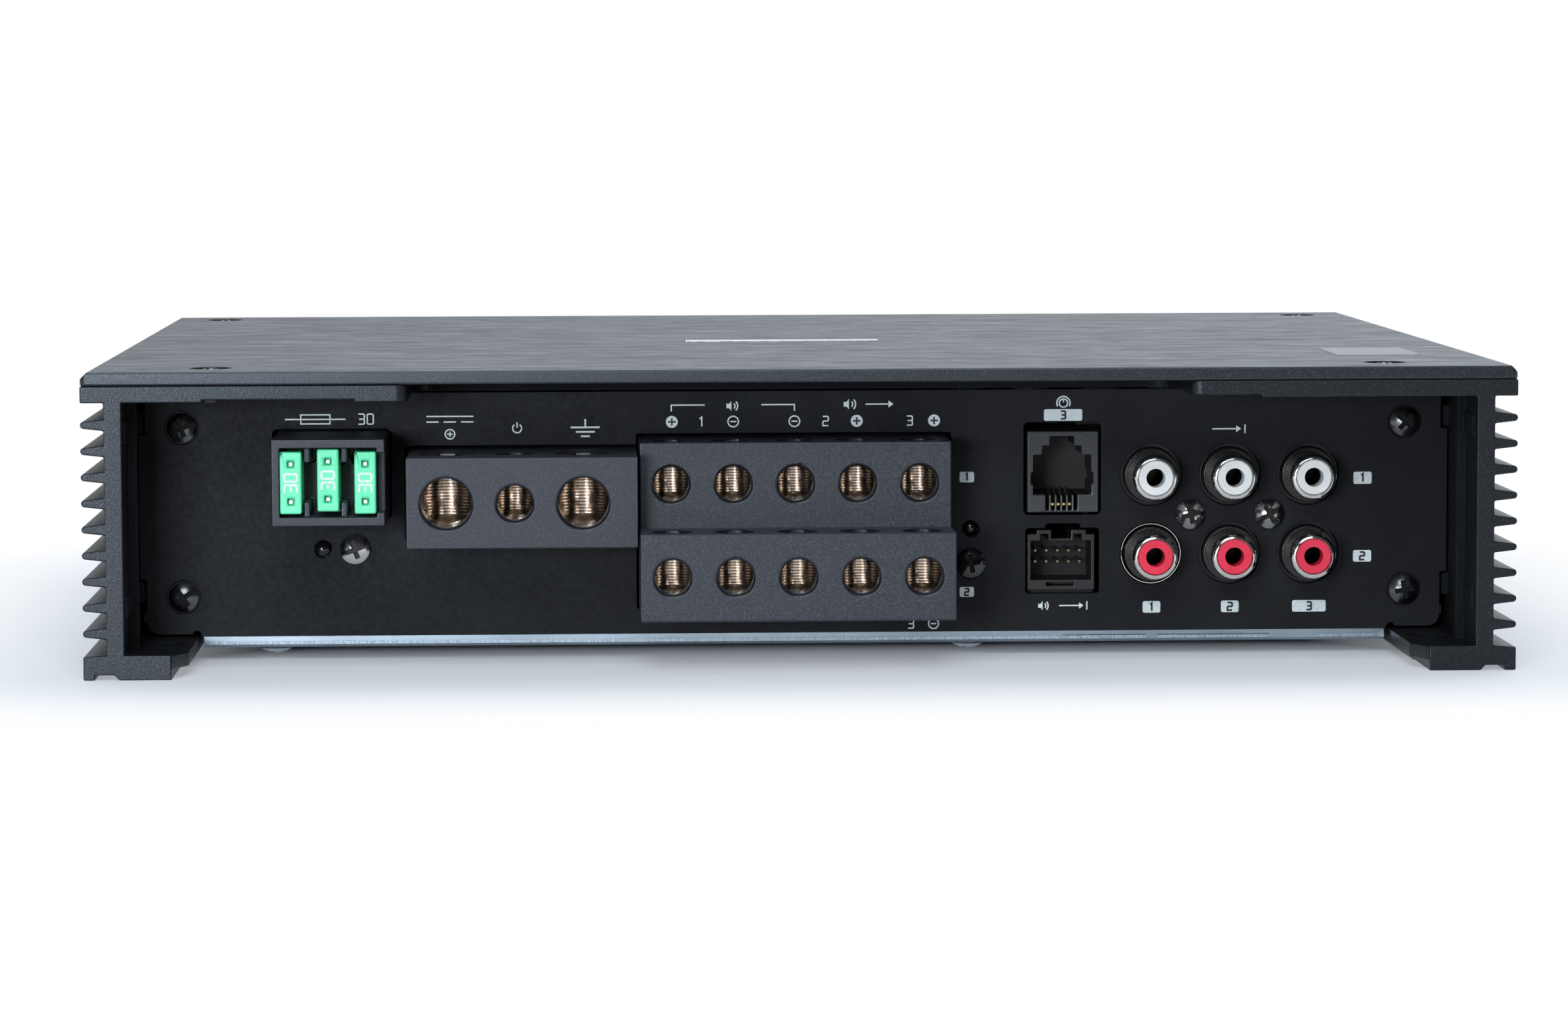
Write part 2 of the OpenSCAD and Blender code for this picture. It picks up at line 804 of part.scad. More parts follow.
module fuse_holder() {
    x0 = holder_x0;
    x1 = holder_x0 + holder_w;
    z0 = fuse_z - holder_h / 2;
    z1 = fuse_z + holder_h / 2;
    y_floor = holder_front + pocket_d;
    color([0.2, 0.2, 0.22]) difference() {
        union() {
            difference() {
                box(x0, x1, holder_front, holder_back, z0, z1);
                box(fuse_x - pocket_w / 2, fuse_x + pocket_w / 2, holder_front - 1, y_floor,
                    fuse_z - pocket_h / 2, fuse_z + pocket_h / 2);
                box(fuse_x - pocket_w / 2, x1 + 1, holder_front - 1, holder_front + 3.5,
                    fuse_z - pocket_h / 2 + 0.8, fuse_z + pocket_h / 2 - 0.8);
            }
            for (i = [1, 2], s = [-1, 1])
                box(fuse_x + fuse_offset(i) + guide_low, fuse_x + fuse_offset(i) + guide_low + guide_t,
                    holder_front + 1.2, y_floor + 0.5, fuse_z + s * 4.8 - 1.3, fuse_z + s * 4.8 + 1.3);
            box(x0, x1, y_panel_back, holder_back, board_top, z0 + 0.5);
            peg(holder_peg_x, holder_screw_z, y_panel - 0.8);
        }
        for (i = [1 : 3], s = [-1, 1]) translate([fuse_x + fuse_offset(i), 0, fuse_z + s * blade_z]) {
            box(-0.8, 0.8, y_floor - 1, y_floor + holder_floor + 1,
                -blade_w / 2 - 0.5, blade_w / 2 + 0.9);
            box(-1.6, 1.6, y_floor + holder_floor, holder_back + 1,
                -blade_w / 2 - 0.6, blade_w / 2 + 1);
        }
        rod(holder_screw_x, holder_screw_z, tap_r, y_panel, y_panel_back + screw_len + 1);
    }
}

module fuse_clips() {
    y0 = holder_front + pocket_d + holder_floor;
    near = blade_t / 2 + clip_gap;
    color([0.75, 0.65, 0.4]) for (i = [1 : 3], s = [-1, 1])
        translate([fuse_x + fuse_offset(i), 0, fuse_z + s * blade_z]) difference() {
            box(-near - clip_t, near + clip_t, y0, y0 + 10, -blade_w / 2 - 0.5, blade_w / 2 + 0.9);
            box(-near, near, y0 - 1, y0 + 8, -blade_w / 2 - 1, blade_w / 2 + 1.5);
        }
}

// blade fuse with two test points in its face
module fuse(i) {
    y0 = holder_front - fuse_proud;
    translate([fuse_x + fuse_offset(i), 0, fuse_z + fuse_rise(i)]) difference() {
        union() {
            plate(y0, y0 + fuse_d) round_rect(-fuse_t / 2, fuse_t / 2, -fuse_w / 2, fuse_w / 2, fuse_edge);
            for (s = [-1, 1])
                box(-blade_t / 2, blade_t / 2, y0 + fuse_d - 1, y0 + fuse_d + blade_len,
                    s * blade_z - blade_w / 2, s * blade_z + blade_w / 2);
        }
        for (s = [-1, 1])
            box(-fuse_test / 2, fuse_test / 2, y0 - 1, y0 + 1.2,
                s * fuse_test_z - fuse_test / 2, s * fuse_test_z + fuse_test / 2);
    }
}

module fuse_1() { color([0.12, 0.7, 0.35]) fuse(1); }
module fuse_2() { color([0.12, 0.7, 0.35]) fuse(2); }
module fuse_3() { color([0.12, 0.7, 0.35]) fuse(3); }

// hole of a wire port with its bevelled rim, then the room for the metal insert
module port_cut(x, y, z, r, drop, half, depth, z_top) {
    rod(x, z, r, y - 1, y + port_lip + 1);
    translate([x, y, z]) rotate([-90, 0, 0]) cylinder(r1 = r + port_edge, r2 = r, h = port_edge);
    box(x - half - slack, x + half + slack, y + port_lip, y + port_lip + depth + 0.2,
        z - r - insert_floor - slack, z + r + insert_wall + slack);
    post(x, y + drop, r + driver_gap, z, z_top + 1);
}

// threaded bore, drawn as rings of grooves between flat crests, with a drill point below
module thread_cut(r, pitch, top, bottom) {
    n = floor((top - bottom) / pitch);
    crest = thread_crest * pitch;
    deep = (pitch - crest) / 2 * tan(thread_flank);
    groove = [[r, 0], [r, crest], [r + deep, (pitch + crest) / 2]];
    rings = [for (i = [0 : n - 1]) for (p = groove) [p[0], bottom + i * pitch + p[1]]];
    rotate_extrude() polygon(concat([[0, bottom - r * 0.3]], rings,
                                    [[r, bottom + n * pitch], [r, top + 1], [0, top + 1]]));
}

// metal insert of a port: wire hole from the front, threaded bore from above
module insert(x, y, z, r, drop, half, depth, pitch) {
    top = z + r + insert_wall;
    translate([x, y, z]) difference() {
        box(-half, half, port_lip, port_lip + depth, -r - insert_floor, r + insert_wall);
        rod(0, 0, r, port_lip - 1, drop);
        translate([0, drop, 0]) thread_cut(r + thread_gap, pitch, top - z, -thread_low * r);
    }
}

// clamp screw backed out above its port
module clamp_screw(x, y, z, r, drop, length, hex) {
    low = z + r + clamp_clear;
    color([0.6, 0.6, 0.58]) translate([x, y + drop, low]) difference() {
        cylinder(r = r, h = length);
        translate([0, 0, length - hex_t]) cylinder(r = hex, h = hex_t + 1, $fn = 6);
    }
}

function power_port_x(i) = power_ports_x + (i - 2) * power_pitch;

function power_r(i) = i == 2 ? remote_port_r : power_port_r;

function power_half(i) = i == 2 ? remote_insert_w / 2 : power_insert_w / 2;

function speaker_port_x(i) = speaker_x + (i - 3) * speaker_pitch;

module power_block() {
    x0 = power_x0;
    x1 = power_x0 + power_w;
    color([0.2, 0.2, 0.22]) difference() {
        union() {
            box(x0, x1, power_front, power_back, power_low, power_high);
            for (x = [x0, x1 - block_foot_w])
                box(x, x + block_foot_w, y_panel_back, power_back, board_top, power_low + 0.5);
        }
        for (i = [1 : 3])
            port_cut(power_port_x(i), power_front, power_z, power_r(i), power_drop, power_half(i),
                     power_insert_d, power_high);
    }
}

module speaker_block() {
    x0 = speaker_x0;
    x1 = speaker_x0 + speaker_w;
    y_ear = y_panel_back + screw_len + 1;
    color([0.2, 0.2, 0.22]) difference() {
        union() {
            box(x0, x1, lower_front, speaker_back, lower_low, upper_low);
            box(x0, x1, upper_front, speaker_back, upper_low - 1, upper_high);
            for (x = [x0, x1 - block_foot_w])
                box(x, x + block_foot_w, y_panel_back, speaker_back, board_top, lower_low + 0.5);
            box(x1 - 1, ear_x1, y_panel_back, y_ear, speaker_screw_z - 4, speaker_peg_z + 3);
            peg(speaker_ear_x, speaker_peg_z, y_panel + 0.9);
        }
        for (i = [1 : 5]) {
            port_cut(speaker_port_x(i), upper_front, upper_z, speaker_port_r, upper_drop,
                     speaker_insert_w / 2, speaker_insert_d, upper_high);
            port_cut(speaker_port_x(i), lower_front, lower_z, speaker_port_r, lower_drop,
                     speaker_insert_w / 2, speaker_insert_d, upper_low);
        }
        rod(speaker_ear_x, speaker_screw_z, tap_r, y_panel, y_ear + 1);
    }
}

module wire_inserts() {
    color([0.72, 0.66, 0.56]) {
        for (i = [1 : 3])
            insert(power_port_x(i), power_front, power_z, power_r(i), power_drop, power_half(i),
                   power_insert_d, i == 2 ? small_thread : power_thread);
        for (i = [1 : 5]) {
            insert(speaker_port_x(i), upper_front, upper_z, speaker_port_r, upper_drop,
                   speaker_insert_w / 2, speaker_insert_d, small_thread);
            insert(speaker_port_x(i), lower_front, lower_z, speaker_port_r, lower_drop,
                   speaker_insert_w / 2, speaker_insert_d, small_thread);
        }
    }
}

module block_screws() {
    color([0.12, 0.12, 0.12]) {
        panel_screw(holder_screw_x, y_panel, holder_screw_z, 20);
        panel_screw(speaker_ear_x, y_panel, speaker_screw_z, 10);
        panel_screw(rca_x - rca_screw_x, y_panel, rca_z, 15);
        panel_screw(rca_x + rca_screw_x, y_panel, rca_z, 30);
    }
}

module power_clamp(i) {
    clamp_screw(power_port_x(i), power_front, power_z, power_r(i), power_drop, power_screw_len,
                i == 2 ? small_hex_r : power_hex_r);
}

module speaker_clamp(i) {
    upper = i <= 5;
    clamp_screw(speaker_port_x(upper ? i : i - 5), upper ? upper_front : lower_front,
                upper ? upper_z : lower_z, speaker_port_r, upper ? upper_drop : lower_drop,
                small_screw_len, small_hex_r);
}

module power_clamp_screw_1() { power_clamp(1); }
module power_clamp_screw_2() { power_clamp(2); }
module power_clamp_screw_3() { power_clamp(3); }
module speaker_clamp_screw_1() { speaker_clamp(1); }
module speaker_clamp_screw_2() { speaker_clamp(2); }
module speaker_clamp_screw_3() { speaker_clamp(3); }
module speaker_clamp_screw_4() { speaker_clamp(4); }
module speaker_clamp_screw_5() { speaker_clamp(5); }
module speaker_clamp_screw_6() { speaker_clamp(6); }
module speaker_clamp_screw_7() { speaker_clamp(7); }
module speaker_clamp_screw_8() { speaker_clamp(8); }
module speaker_clamp_screw_9() { speaker_clamp(9); }
module speaker_clamp_screw_10() { speaker_clamp(10); }

// opening of the modular jack: latch slot, keyway and plug room, seen from the front
module jack_opening() {
    latch_low = jack_h - jack_key_drop - 0.2;
    key_low = jack_h - jack_room_drop - 0.15;
    translate([jack_latch_x, latch_low]) square([jack_latch_w, jack_h - jack_latch_drop - latch_low]);
    translate([jack_key_x, key_low]) square([jack_key_w, jack_h - jack_key_drop - key_low]);
    translate([jack_room_x, jack_lip]) square([jack_room_w, jack_h - jack_room_drop - jack_lip]);
    translate([jack_wing_x, jack_wing_z]) square([jack_wing_w, jack_wing_h]);
}

// grooves for the contact wires in the lower lip of the jack
module jack_grooves() {
    for (i = [0 : 5]) translate([jack_wire_x + (i - 2.5) * jack_pitch - 0.3, 0.35])
        square([0.6, jack_lip - 0.2]);
}

module remote_jack() {
    color([0.12, 0.12, 0.13]) difference() {
        union() {
            box(jack_x, jack_x + jack_w, jack_front, jack_front + jack_d, jack_low, jack_low + jack_h);
            for (x = [jack_x, jack_x + jack_w - jack_leg_w])
                box(x, x + jack_leg_w, socket_front + socket_d + 0.4, jack_front + jack_d, board_top,
                    jack_low + 0.5);
        }
        translate([jack_x, 0, jack_low]) {
            plate(jack_front - 1, jack_front + jack_room) jack_opening();
            plate(jack_front - 1, jack_front + jack_groove_d) jack_grooves();
        }
    }
}

module remote_jack_wires() {
    color([0.85, 0.65, 0.25]) for (i = [1 : 4])
        translate([jack_x + jack_wire_x + (i - 2.5) * jack_pitch, jack_front + 1.2, jack_low + 1.4])
            rotate([-78, 0, 0]) cylinder(r = jack_wire_r, h = jack_wire_len);
}

// shroud of the pin socket seen from the front
module socket_outline() {
    difference() {
        union() {
            square([socket_w, socket_h]);
            for (i = [0, 1]) translate([socket_key_x[i], socket_h - 1])
                square([socket_key_w[i], socket_key_h + 1]);
        }
        translate([socket_dip[0], socket_h - socket_key_h])
            square([socket_dip[1] - socket_dip[0], 2 * socket_key_h]);
    }
}

module level_socket() {
    z_top = socket_low + socket_h;
    color([0.12, 0.12, 0.13]) difference() {
        union() {
            translate([socket_x, 0, socket_low]) plate(socket_front, socket_front + socket_d)
                socket_outline();
            box(socket_x, socket_x + socket_w, y_panel_back + 1, socket_front + socket_d,
                board_top, socket_low + 0.5);
        }
        box(socket_x + socket_wall, socket_x + socket_w - socket_wall, socket_front - 1,
            socket_front + socket_room, pin_z - 4.15, pin_z + 2.95);
        for (x = socket_slot_x) translate([socket_x, 0, 0])
            box(x, x + socket_slot_w, socket_front - 1, socket_front + socket_room, pin_z + 2, z_top + 0.1);
        box(socket_x + socket_foot_x[0], socket_x + socket_foot_x[1], socket_front - 1, socket_front + 3,
            socket_low + 0.6, socket_low + 1.3);
        for (i = [-2 : 2], s = [-1, 1])
            translate([socket_x + pin_x + i * pin_pitch, 0, pin_z + s * pin_pitch / 2])
                box(-pin_side / 2 - slack, pin_side / 2 + slack, socket_front + socket_room - 1,
                    socket_front + socket_d + 1, -pin_side / 2 - slack, pin_side / 2 + slack);
    }
}

module level_pins() {
    color([0.85, 0.7, 0.3]) for (i = [-2 : 2], s = [-1, 1])
        translate([socket_x + pin_x + i * pin_pitch, 0, pin_z + s * pin_pitch / 2])
            box(-pin_side / 2, pin_side / 2, socket_front + pin_in, socket_front + socket_d + pin_out,
                -pin_side / 2, pin_side / 2);
}

// places of the phono jacks in one row, row 1 on top
module at_jacks(row) {
    for (i = [-1 : 1]) translate([rca_x + i * rca_pitch, 0, rca_z + row * rca_pitch / 2]) children();
}

module rca_housing() {
    x0 = rca_x0;
    x1 = rca_x0 + rca_block_w;
    z1 = rca_z + rca_pitch / 2 + rca_block_edge;
    y1 = y_panel_back + rca_block_d;
    color([0.1, 0.1, 0.11]) difference() {
        union() {
            box(x0, x1, y_panel_back, y1, board_top, z1);
            for (row = [-1, 1]) at_jacks(row)
                rod(0, 0, rca_collar_r, y_panel - rca_collar_t, y_panel_back + 1);
        }
        for (row = [-1, 1]) at_jacks(row) {
            rod(0, 0, rca_shell_r - rca_tail_step + slack, y_panel - rca_collar_t - 1,
                y_panel_back + rca_tail);
            rod(0, 0, rca_contact_r + slack, y_panel_back, y1 + 1);
        }
        for (s = [-1, 1])
            rod(rca_x + s * rca_screw_x, rca_z, tap_r, y_panel, y_panel_back + screw_len + 1);
    }
}

// half section of a phono shell, radius across, length up
module shell_section() {
    long = y_panel_back + rca_tail - rca_front;
    tail = panel_t + rca_tail + rca_collar_t;
    inner = rca_shell_r - rca_wall;
    translate([inner, tail]) square([rca_wall, long - rca_round - tail]);
    translate([inner, 0]) square([rca_wall - rca_tail_step, tail + 0.5]);
    intersection() {
        translate([inner, tail]) square([rca_wall, long - tail]);
        translate([rca_shell_r - rca_round, long - rca_round]) circle(rca_round);
    }
}

module rca_shells() {
    color([0.8, 0.79, 0.77]) {
        for (row = [-1, 1]) at_jacks(row) translate([0, y_panel_back + rca_tail, 0])
            rotate([90, 0, 0]) rotate_extrude() shell_section();
        translate([rca_x - rca_pitch, y_panel + 0.9, rca_z - rca_pitch / 2]) rotate([90, 0, 0])
            difference() {
                cylinder(r = ring_out_r, h = 0.9);
                translate([0, 0, -1]) cylinder(r = ring_in_r, h = 3);
            }
    }
}

module phono_insert() {
    difference() {
        rod(0, 0, rca_insert_r, rca_front + 0.25, y_panel_back + rca_tail - slack);
        rod(0, 0, rca_hole_r, rca_front - 1, rca_front + rca_contact_in + 1);
        rod(0, 0, rca_contact_r + slack, rca_front + rca_contact_in, y_panel_back + rca_tail + 1);
    }
}

module rca_white_inserts() { color([0.95, 0.95, 0.94]) at_jacks(1) phono_insert(); }

module rca_red_inserts() { color([0.86, 0.1, 0.2]) at_jacks(-1) phono_insert(); }

module rca_contacts() {
    color([0.7, 0.6, 0.35]) for (row = [-1, 1]) at_jacks(row) difference() {
        rod(0, 0, rca_contact_r, rca_front + rca_contact_in, y_panel_back + rca_block_d + rca_contact_out);
        rod(0, 0, rca_hole_r, rca_front, y_panel_back + rca_contact_d);
    }
}

module control_board() {
    color([0.06, 0.3, 0.16])
        box(control_left, control_right, control_y - control_half, control_y + control_half,
            control_board_z, control_top);
}

module trimmer_bodies() {
    color([0.16, 0.2, 0.3]) for (x = knob_x) difference() {
        box(x - trimmer_w / 2, x + trimmer_w / 2, control_y - trimmer_w / 2, control_y + trimmer_w / 2,
            control_top, control_top + trimmer_h);
        post(x, control_y, stem_r + 0.3, control_top + 2, control_top + trimmer_h + 1);
    }
}

module switch_bodies() {
    color([0.14, 0.14, 0.15]) for (x = switch_x) difference() {
        box(x - switch_w / 2, x + switch_w / 2, control_y - switch_d / 2, control_y + switch_d / 2,
            control_top, control_top + switch_h);
        box(x - slider_slot / 2, x + slider_slot / 2, control_y - slider_d / 2 - 0.3,
            control_y + slider_d / 2 + 0.3, control_top + 2, control_top + switch_h + 1);
    }
}

// knob of a trimmer with a driver slot
module trimmer_knob(i) {
    color([0.85, 0.85, 0.83]) translate([knob_x[i - 1], control_y, 0]) difference() {
        union() {
            post(0, 0, knob_r, knob_low, knob_top);
            post(0, 0, stem_r, control_top + 2.5, knob_low + 0.5);
        }
        box(-0.5, 0.5, -knob_r - 1, knob_r - 1, knob_top - 1, knob_top + 1);
    }
}

module trimmer_knob_1() { trimmer_knob(1); }
module trimmer_knob_2() { trimmer_knob(2); }
module trimmer_knob_3() { trimmer_knob(3); }
module trimmer_knob_4() { trimmer_knob(4); }
module trimmer_knob_5() { trimmer_knob(5); }

module switch_slider(i) {
    x = switch_x[i - 1];
    color([0.85, 0.85, 0.83])
        box(x - slider_w / 2, x + slider_w / 2, control_y - slider_d / 2, control_y + slider_d / 2,
            control_top + 2.4, knob_top);
}

module switch_slider_1() { switch_slider(1); }
module switch_slider_2() { switch_slider(2); }

module board_link() {
    y = control_y + control_half - 3;
    color([0.1, 0.1, 0.1])
        box(link_x, link_x + link_w, y, y + 2.5, board_top, control_board_z);
}

// wound ring lying on the board
module ring_coil(x, y, r, section, height) {
    translate([x, y, board_top]) rotate_extrude()
        round_rect(r - section, r, 0, height, coil_round);
}

module power_transformer() {
    color([0.6, 0.32, 0.14])
        ring_coil(transformer_x, transformer_y, transformer_r, transformer_section, transformer_h);
}

module input_choke() {
    color([0.6, 0.32, 0.14]) ring_coil(choke_x, choke_y, choke_r, choke_section, choke_h);
}

module reservoir_capacitors() {
    color([0.1, 0.12, 0.2]) for (i = [-1 : 1], y = can_y)
        post(i * can_pitch, y, can_r, board_top, board_top + can_h);
}

module output_coils() {
    color([0.25, 0.25, 0.27]) for (i = [0 : 4]) translate([coil_first_x + i * coil_pitch, coil_y, 0])
        box(0, coil_w, 0, coil_w, board_top, board_top + coil_h);
}

module power_transistors() {
    x1 = wall_in;
    x0 = wall_in - transistor_t;
    color([0.12, 0.12, 0.13]) both_sides() for (i = [-2.5 : 1 : 2.5]) {
        y = i * transistor_pitch;
        box(x0, x1, y - transistor_w / 2, y + transistor_w / 2, transistor_z, transistor_z + transistor_h);
        for (k = [-1 : 1])
            box(x0 + 1.5, x0 + 2.1, y + k * 2.5 - 0.4, y + k * 2.5 + 0.4, board_top, transistor_z + 0.5);
    }
}

module transistor_clamps() {
    x1 = wall_in - transistor_t;
    y = 2.5 * transistor_pitch + transistor_w / 2;
    z = transistor_z + transistor_h / 2;
    color([0.65, 0.66, 0.68]) both_sides()
        box(x1 - clamp_t, x1, -y, y, z - clamp_h / 2, z + clamp_h / 2);
}

chassis();
lid();
lid_screws();
lid_badge();
terminal_panel();
rear_panel();
panel_screws();
bottom_cover();
bottom_screws();
board_spacers();
main_board();
fuse_holder();
fuse_clips();
fuse_1();
fuse_2();
fuse_3();
power_block();
speaker_block();
wire_inserts();
block_screws();
power_clamp_screw_1();
power_clamp_screw_2();
power_clamp_screw_3();
speaker_clamp_screw_1();
speaker_clamp_screw_2();
speaker_clamp_screw_3();
speaker_clamp_screw_4();
speaker_clamp_screw_5();
speaker_clamp_screw_6();
speaker_clamp_screw_7();
speaker_clamp_screw_8();
speaker_clamp_screw_9();
speaker_clamp_screw_10();
remote_jack();
remote_jack_wires();
level_socket();
level_pins();
rca_housing();
rca_shells();
rca_white_inserts();
rca_red_inserts();
rca_contacts();
control_board();
trimmer_bodies();
switch_bodies();
board_link();
trimmer_knob_1();
trimmer_knob_2();
trimmer_knob_3();
trimmer_knob_4();
trimmer_knob_5();
switch_slider_1();
switch_slider_2();
power_transformer();
input_choke();
reservoir_capacitors();
output_coils();
power_transistors();
transistor_clamps();
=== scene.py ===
"""Looks of the car amplifier: materials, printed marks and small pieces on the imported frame."""
import math

import bmesh
import bpy
from mathutils import Matrix, Vector


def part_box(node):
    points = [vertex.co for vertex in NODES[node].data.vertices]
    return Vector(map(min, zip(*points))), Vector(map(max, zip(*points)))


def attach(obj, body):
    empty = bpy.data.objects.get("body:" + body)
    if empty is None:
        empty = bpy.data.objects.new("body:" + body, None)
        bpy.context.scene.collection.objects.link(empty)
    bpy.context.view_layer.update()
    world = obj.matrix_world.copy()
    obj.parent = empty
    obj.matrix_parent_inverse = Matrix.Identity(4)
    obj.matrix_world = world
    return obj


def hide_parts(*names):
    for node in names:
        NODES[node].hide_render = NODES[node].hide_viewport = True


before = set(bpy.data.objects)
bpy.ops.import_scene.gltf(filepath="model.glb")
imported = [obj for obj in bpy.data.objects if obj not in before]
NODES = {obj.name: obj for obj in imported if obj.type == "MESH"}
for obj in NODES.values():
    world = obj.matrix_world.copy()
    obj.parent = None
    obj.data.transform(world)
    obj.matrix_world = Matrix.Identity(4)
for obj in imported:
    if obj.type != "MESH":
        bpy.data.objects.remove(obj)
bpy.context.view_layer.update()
MM = 0.001
PANEL_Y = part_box("terminal_panel")[0][1] / MM

scene = bpy.context.scene
scene.view_settings.view_transform = "Standard"


# camera

CAMERA_AT = Vector((-0.03747, -0.96887, 0.10258))
CAMERA_YAW = math.radians(2.256)
CAMERA_PITCH = math.radians(4.849)
CAMERA_ROLL = math.radians(-0.169)
CAMERA_LENS = 114.85
SENSOR_WIDTH = 36


def make_camera():
    forward = Vector((math.sin(CAMERA_YAW) * math.cos(CAMERA_PITCH),
                      math.cos(CAMERA_YAW) * math.cos(CAMERA_PITCH),
                      -math.sin(CAMERA_PITCH)))
    level = Vector((math.cos(CAMERA_YAW), -math.sin(CAMERA_YAW), 0))
    right = math.cos(CAMERA_ROLL) * level + math.sin(CAMERA_ROLL) * level.cross(forward)
    up = right.cross(forward)
    data = bpy.data.cameras.new("camera")
    data.lens = CAMERA_LENS
    data.sensor_fit = "HORIZONTAL"
    data.sensor_width = SENSOR_WIDTH
    camera = bpy.data.objects.new("camera", data)
    turn = Matrix((right, up, -forward)).transposed()
    camera.matrix_world = Matrix.LocRotScale(CAMERA_AT, turn, None)
    scene.collection.objects.link(camera)
    scene.camera = camera


# building blocks of the materials

NOISE_RANGE = (0.3, 0.7)
MIX_FIRST, MIX_SECOND, MIX_RESULT = 6, 7, 2


def shade(colour, factor):
    return tuple(min(1.0, c * factor) for c in colour)


class Paint:
    """A material, with short calls for the nodes that feed its shader."""

    def __init__(self, name, colour, roughness, metallic=0.0, **sockets):
        self.material = bpy.data.materials.new(name)
        self.material.use_nodes = True
        self.tree = self.material.node_tree
        self.shader = self.tree.nodes["Principled BSDF"]
        self.set("Base Color", (*colour, 1))
        self.set("Roughness", roughness)
        self.set("Metallic", metallic)
        for socket, value in sockets.items():
            self.set(socket.replace("_", " "), value)

    def set(self, socket, value):
        self.shader.inputs[socket].default_value = value

    def node(self, kind, **inputs):
        made = self.tree.nodes.new(kind)
        for key, value in inputs.items():
            self.feed(made.inputs[key.replace("_", " ")], value)
        return made

    def feed(self, socket, value):
        """Links an output to a socket, or sets the socket to a plain value."""
        if isinstance(value, bpy.types.NodeSocket):
            self.tree.links.new(value, socket)
        else:
            socket.default_value = value

    def place(self, scale=(1, 1, 1)):
        """Object coordinates in millimetres, times a scale."""
        spot = self.node("ShaderNodeMapping",
                         Vector=self.node("ShaderNodeTexCoord").outputs["Object"],
                         Scale=[s / MM for s in scale])
        return spot.outputs["Vector"]

    def noise(self, scale, detail=2.0, rough=0.5, vector=None):
        made = self.node("ShaderNodeTexNoise", Vector=vector or self.place(),
                         Scale=scale, Detail=detail, Roughness=rough)
        return made.outputs["Fac"]

    def cells(self, scale, metric="EUCLIDEAN"):
        """The distance to the nearest of many scattered points."""
        made = self.node("ShaderNodeTexVoronoi", Vector=self.place(), Scale=scale)
        made.distance = metric
        return made.outputs["Distance"]

    def span(self, value, low, high, to_low=0.0, to_high=1.0):
        """Maps a value between two limits to another pair of limits."""
        made = self.node("ShaderNodeMapRange", Value=value)
        for key, part in (("From Min", low), ("From Max", high),
                          ("To Min", to_low), ("To Max", to_high)):
            self.feed(made.inputs[key], part)
        return made.outputs["Result"]

    def level(self, noise, to_low=0.0, to_high=1.0):
        """Maps the usual range of a noise to a pair of limits."""
        return self.span(noise, *NOISE_RANGE, to_low, to_high)

    def choose(self, factor, first, second):
        """A value between two values by a factor."""
        return self.span(factor, 0, 1, first, second)

    def sum(self, operation, first, second=0.0):
        made = self.node("ShaderNodeMath")
        made.operation = operation
        self.feed(made.inputs[0], first)
        self.feed(made.inputs[1], second)
        return made.outputs[0]

    def mix(self, factor, first, second):
        """A colour between two colours by a factor."""
        made = self.node("ShaderNodeMix")
        made.data_type = "RGBA"
        self.feed(made.inputs["Factor"], factor)
        for socket, value in ((MIX_FIRST, first), (MIX_SECOND, second)):
            self.feed(made.inputs[socket], (*value, 1) if isinstance(value, tuple) else value)
        return made.outputs[MIX_RESULT]

    def facing(self, axis):
        """One part of the surface's true normal, named X, Y or Z."""
        normal = self.node("ShaderNodeNewGeometry").outputs["True Normal"]
        return self.node("ShaderNodeSeparateXYZ", Vector=normal).outputs[axis]

    def along(self, axis):
        """One object coordinate in millimetres, named X, Y or Z."""
        return self.node("ShaderNodeSeparateXYZ", Vector=self.place()).outputs[axis]

    def colour(self, value):
        self.feed(self.shader.inputs["Base Color"], value)

    def roughness(self, value):
        self.feed(self.shader.inputs["Roughness"], value)

    def bump(self, height, depth_mm, strength):
        made = self.node("ShaderNodeBump", Strength=strength, Distance=depth_mm * MM, Height=height)
        self.feed(self.shader.inputs["Normal"], made.outputs["Normal"])


# finishes

COOL_SHINE = (0.8, 0.89, 1.0, 1.0)
SOFT_SHINE = (0.9, 0.94, 1.0, 1.0)
# depths on Y past which the chassis ribs get painted shade
RIB_SHADE_Y = (-98, -96)
PEG_BLACK = (0.006, 0.006, 0.007)
# painted shade in screw recesses: its colour and how far it covers the metal
RECESS_SHADE_BLACK = (0.016, 0.016, 0.0165)
RECESS_SHADE_SHARE = 0.85
SHEAR_DEPTH = (0.05, 0.1)
# depths behind the panel over which sockets darken into painted shade
SOCKET_SHADE_DEPTH = (0.9, 2.5)
EVEN = (1, 1, 1)


def coarse_coat(paint, colour):
    """Colour, roughness and height of a coarse powder paint with light specks."""
    grain = paint.noise(3.4, detail=2, rough=0.6)
    fleck = paint.span(paint.noise(3.8, detail=1), 0.63, 0.7)
    tone = paint.mix(paint.span(grain, 0.35, 0.65), shade(colour, 0.4), shade(colour, 1.3))
    flecked = paint.mix(fleck, tone, shade(colour, 4))
    rough = paint.level(grain, 0.32, 0.46)
    return flecked, rough, grain


def chassis_paint(name, colour):
    """Coarse paint, with painted shade that turns the front faces of the ribs standing back inside
    the opening near black.
    """
    paint = Paint(name, colour, 0.4, Specular_IOR_Level=0.42, Specular_Tint=COOL_SHINE)
    tone, rough, height = coarse_coat(paint, colour)
    # painted shade: front faces that stand back inside the opening are made near black, where shade
    # falls
    front = paint.span(paint.facing("Y"), -0.8, -0.9)
    rib_shade = paint.sum("MULTIPLY", front, paint.span(paint.along("Y"), *RIB_SHADE_Y))
    paint.colour(paint.mix(rib_shade, tone, shade(colour, 0.1)))
    paint.roughness(paint.choose(rib_shade, rough, 0.9))
    paint.bump(height, depth_mm=0.05, strength=0.9)
    return paint


